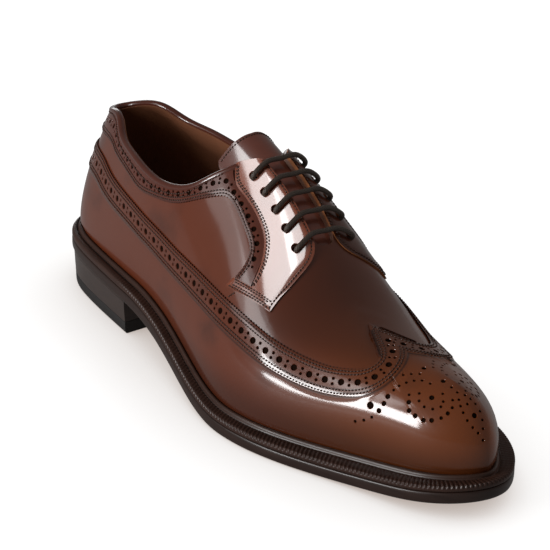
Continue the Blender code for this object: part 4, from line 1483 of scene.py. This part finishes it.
# Floor, light and camera
# White floor that glows for the camera, with a painted shadow near the shoe, a dim room, and soft
# lights, two of them on the outer facing and tongue alone; the camera stands where the photograph's did.
PAPER_GREY = (0.26, 0.26, 0.26, 1.0)
PAPER_AND_SHADOW_TONES = ((0.40, 0.33, 0.29, 1.0), (1.0, 1.0, 1.0, 1.0))
CONTACT = 0.06
PAPER_GLOW = 0.86
PAPER_GLOW_LEAST = 0.11
ROOM_WHITE = (1.0, 0.98, 0.96, 1.0)
ROOM_LEAST = 0.06
bpy.ops.object.select_all(action="DESELECT")
bpy.ops.mesh.primitive_plane_add(size=8.0, location=(0.0, 0.0, 0.0))
floor = bpy.context.object
floor.name = "studio_floor"
paper, paper_tree, paper_surface, _ = new_material("floor_paper")
# Painted contact shadow: the floor's glow turns brownish grey where the shoe hides it
painted_contact_shadow = node(paper_tree, "AmbientOcclusion", {"Distance": CONTACT}).outputs["AO"]
seen = node(paper_tree, "LightPath", {}).outputs["Is Camera Ray"]
glow = node(paper_tree, "Math", {0: seen, 1: PAPER_GLOW, 2: PAPER_GLOW_LEAST}, operation="MULTIPLY_ADD")
fed(paper_tree, paper_surface, {
    "Base Color": PAPER_GREY, "Roughness": 0.9, "Emission Strength": glow.outputs[0],
    "Emission Color": mixed(paper_tree, painted_contact_shadow, *PAPER_AND_SHADOW_TONES)})
clad(floor, paper)

world = bpy.data.worlds.new("dim_room")
bpy.context.scene.world = world
world.use_nodes = True
room = world.node_tree
rays = node(room, "LightPath", {}).outputs
strength = ROOM_LEAST
for ray, share in (("Is Diffuse Ray", 0.10), ("Is Glossy Ray", 0.12), ("Is Camera Ray", 1.0)):
    part = node(room, "Math", {0: rays[ray], 1: share, 2: strength}, operation="MULTIPLY_ADD")
    strength = part.outputs[0]
fed(room, room.nodes["Background"], {"Color": ROOM_WHITE, "Strength": strength})


LIGHT_AIM = Vector((0.0, 0.0, 0.045))


def softbox(name, azimuth, elevation, distance, width, height, power):
    """Soft rectangular light looking at the shoe; azimuth 0 is the outer side."""
    turn, rise = math.radians(azimuth), math.radians(elevation)
    way = Vector((math.sin(turn) * math.cos(rise), -math.cos(turn) * math.cos(rise), math.sin(rise)))
    bpy.ops.object.light_add(type="AREA")
    light = bpy.context.object
    light.name = name
    light.data.shape = "RECTANGLE"
    light.data.size = width
    light.data.size_y = height
    light.data.energy = power
    place = way * distance + LIGHT_AIM
    light.matrix_world = Matrix.Translation(place) @ way.to_track_quat("Z", "Y").to_matrix().to_4x4()
    return light


LIGHTS = (
    # name, azimuth, elevation, distance, width, height, power
    ("outer_side_light", -4.5, 11.0, 1.1, 0.33, 0.27, 7.4),
    ("inner_side_fill", 175.0, 28.0, 1.5, 1.60, 1.00, 9.0),
    ("rear_soft_light", -112.0, 7.0, 1.1, 0.45, 0.30, 0.8),
    ("soft_side_light", -17.0, 25.0, 1.1, 0.34, 0.28, 1.1),
    ("wide_side_light", -22.0, 27.0, 1.1, 0.50, 0.40, 1.1),
    ("facing_light", 12.0, 59.0, 1.1, 0.62, 0.78, 22.0),
    ("facing_top_light", 68.0, 75.0, 1.1, 0.45, 0.34, 7.0),
)
LIT_ALONE = {
    "facing_light": ("facing_lateral_leather", "tongue_leather"),
    "facing_top_light": ("facing_lateral_leather",),
}
lights = {row[0]: softbox(*row) for row in LIGHTS}
lights["inner_side_fill"].visible_glossy = False
for name, pieces in LIT_ALONE.items():
    lit = bpy.data.collections.new("lit_by_" + name)
    for piece in pieces:
        lit.objects.link(bpy.data.objects[piece])
    lights[name].light_linking.receiver_collection = lit
bpy.context.scene.view_settings.view_transform = "Standard"

CAMERA_AZIMUTH = math.radians(53.12)
CAMERA_ELEVATION = math.radians(26.92)
CAMERA_ROLL = math.radians(1.71)
CAMERA_DISTANCE = 1190.2
CAMERA_TARGET = np.array([150.0, 0.0, 45.0])
SENSOR = 36.0
LENS_PIXELS = 2619.7
FRAME_PIXELS = 550.0
FRAME_SHIFT = (6.26, 14.63)
sin_a, cos_a = math.sin(CAMERA_AZIMUTH), math.cos(CAMERA_AZIMUTH)
sin_e, cos_e = math.sin(CAMERA_ELEVATION), math.cos(CAMERA_ELEVATION)
back = np.array([sin_a * cos_e, -cos_a * cos_e, sin_e])
right = np.array([cos_a, sin_a, 0.0])
up = np.array([-sin_e * sin_a, sin_e * cos_a, cos_e])
right, up = (right * math.cos(CAMERA_ROLL) + up * math.sin(CAMERA_ROLL),
             up * math.cos(CAMERA_ROLL) - right * math.sin(CAMERA_ROLL))
bpy.ops.object.camera_add()
camera = bpy.context.object
camera.name = "photograph_camera"
camera.data.sensor_width = SENSOR
camera.data.lens = LENS_PIXELS / FRAME_PIXELS * SENSOR
camera.data.shift_x = -FRAME_SHIFT[0] / FRAME_PIXELS
camera.data.shift_y = FRAME_SHIFT[1] / FRAME_PIXELS
stand = Matrix([[*axis] for axis in np.stack([right, up, back], axis=1)]).to_4x4()
stand.translation = placed(CAMERA_TARGET + back * CAMERA_DISTANCE)
camera.matrix_world = stand
bpy.context.scene.camera = camera
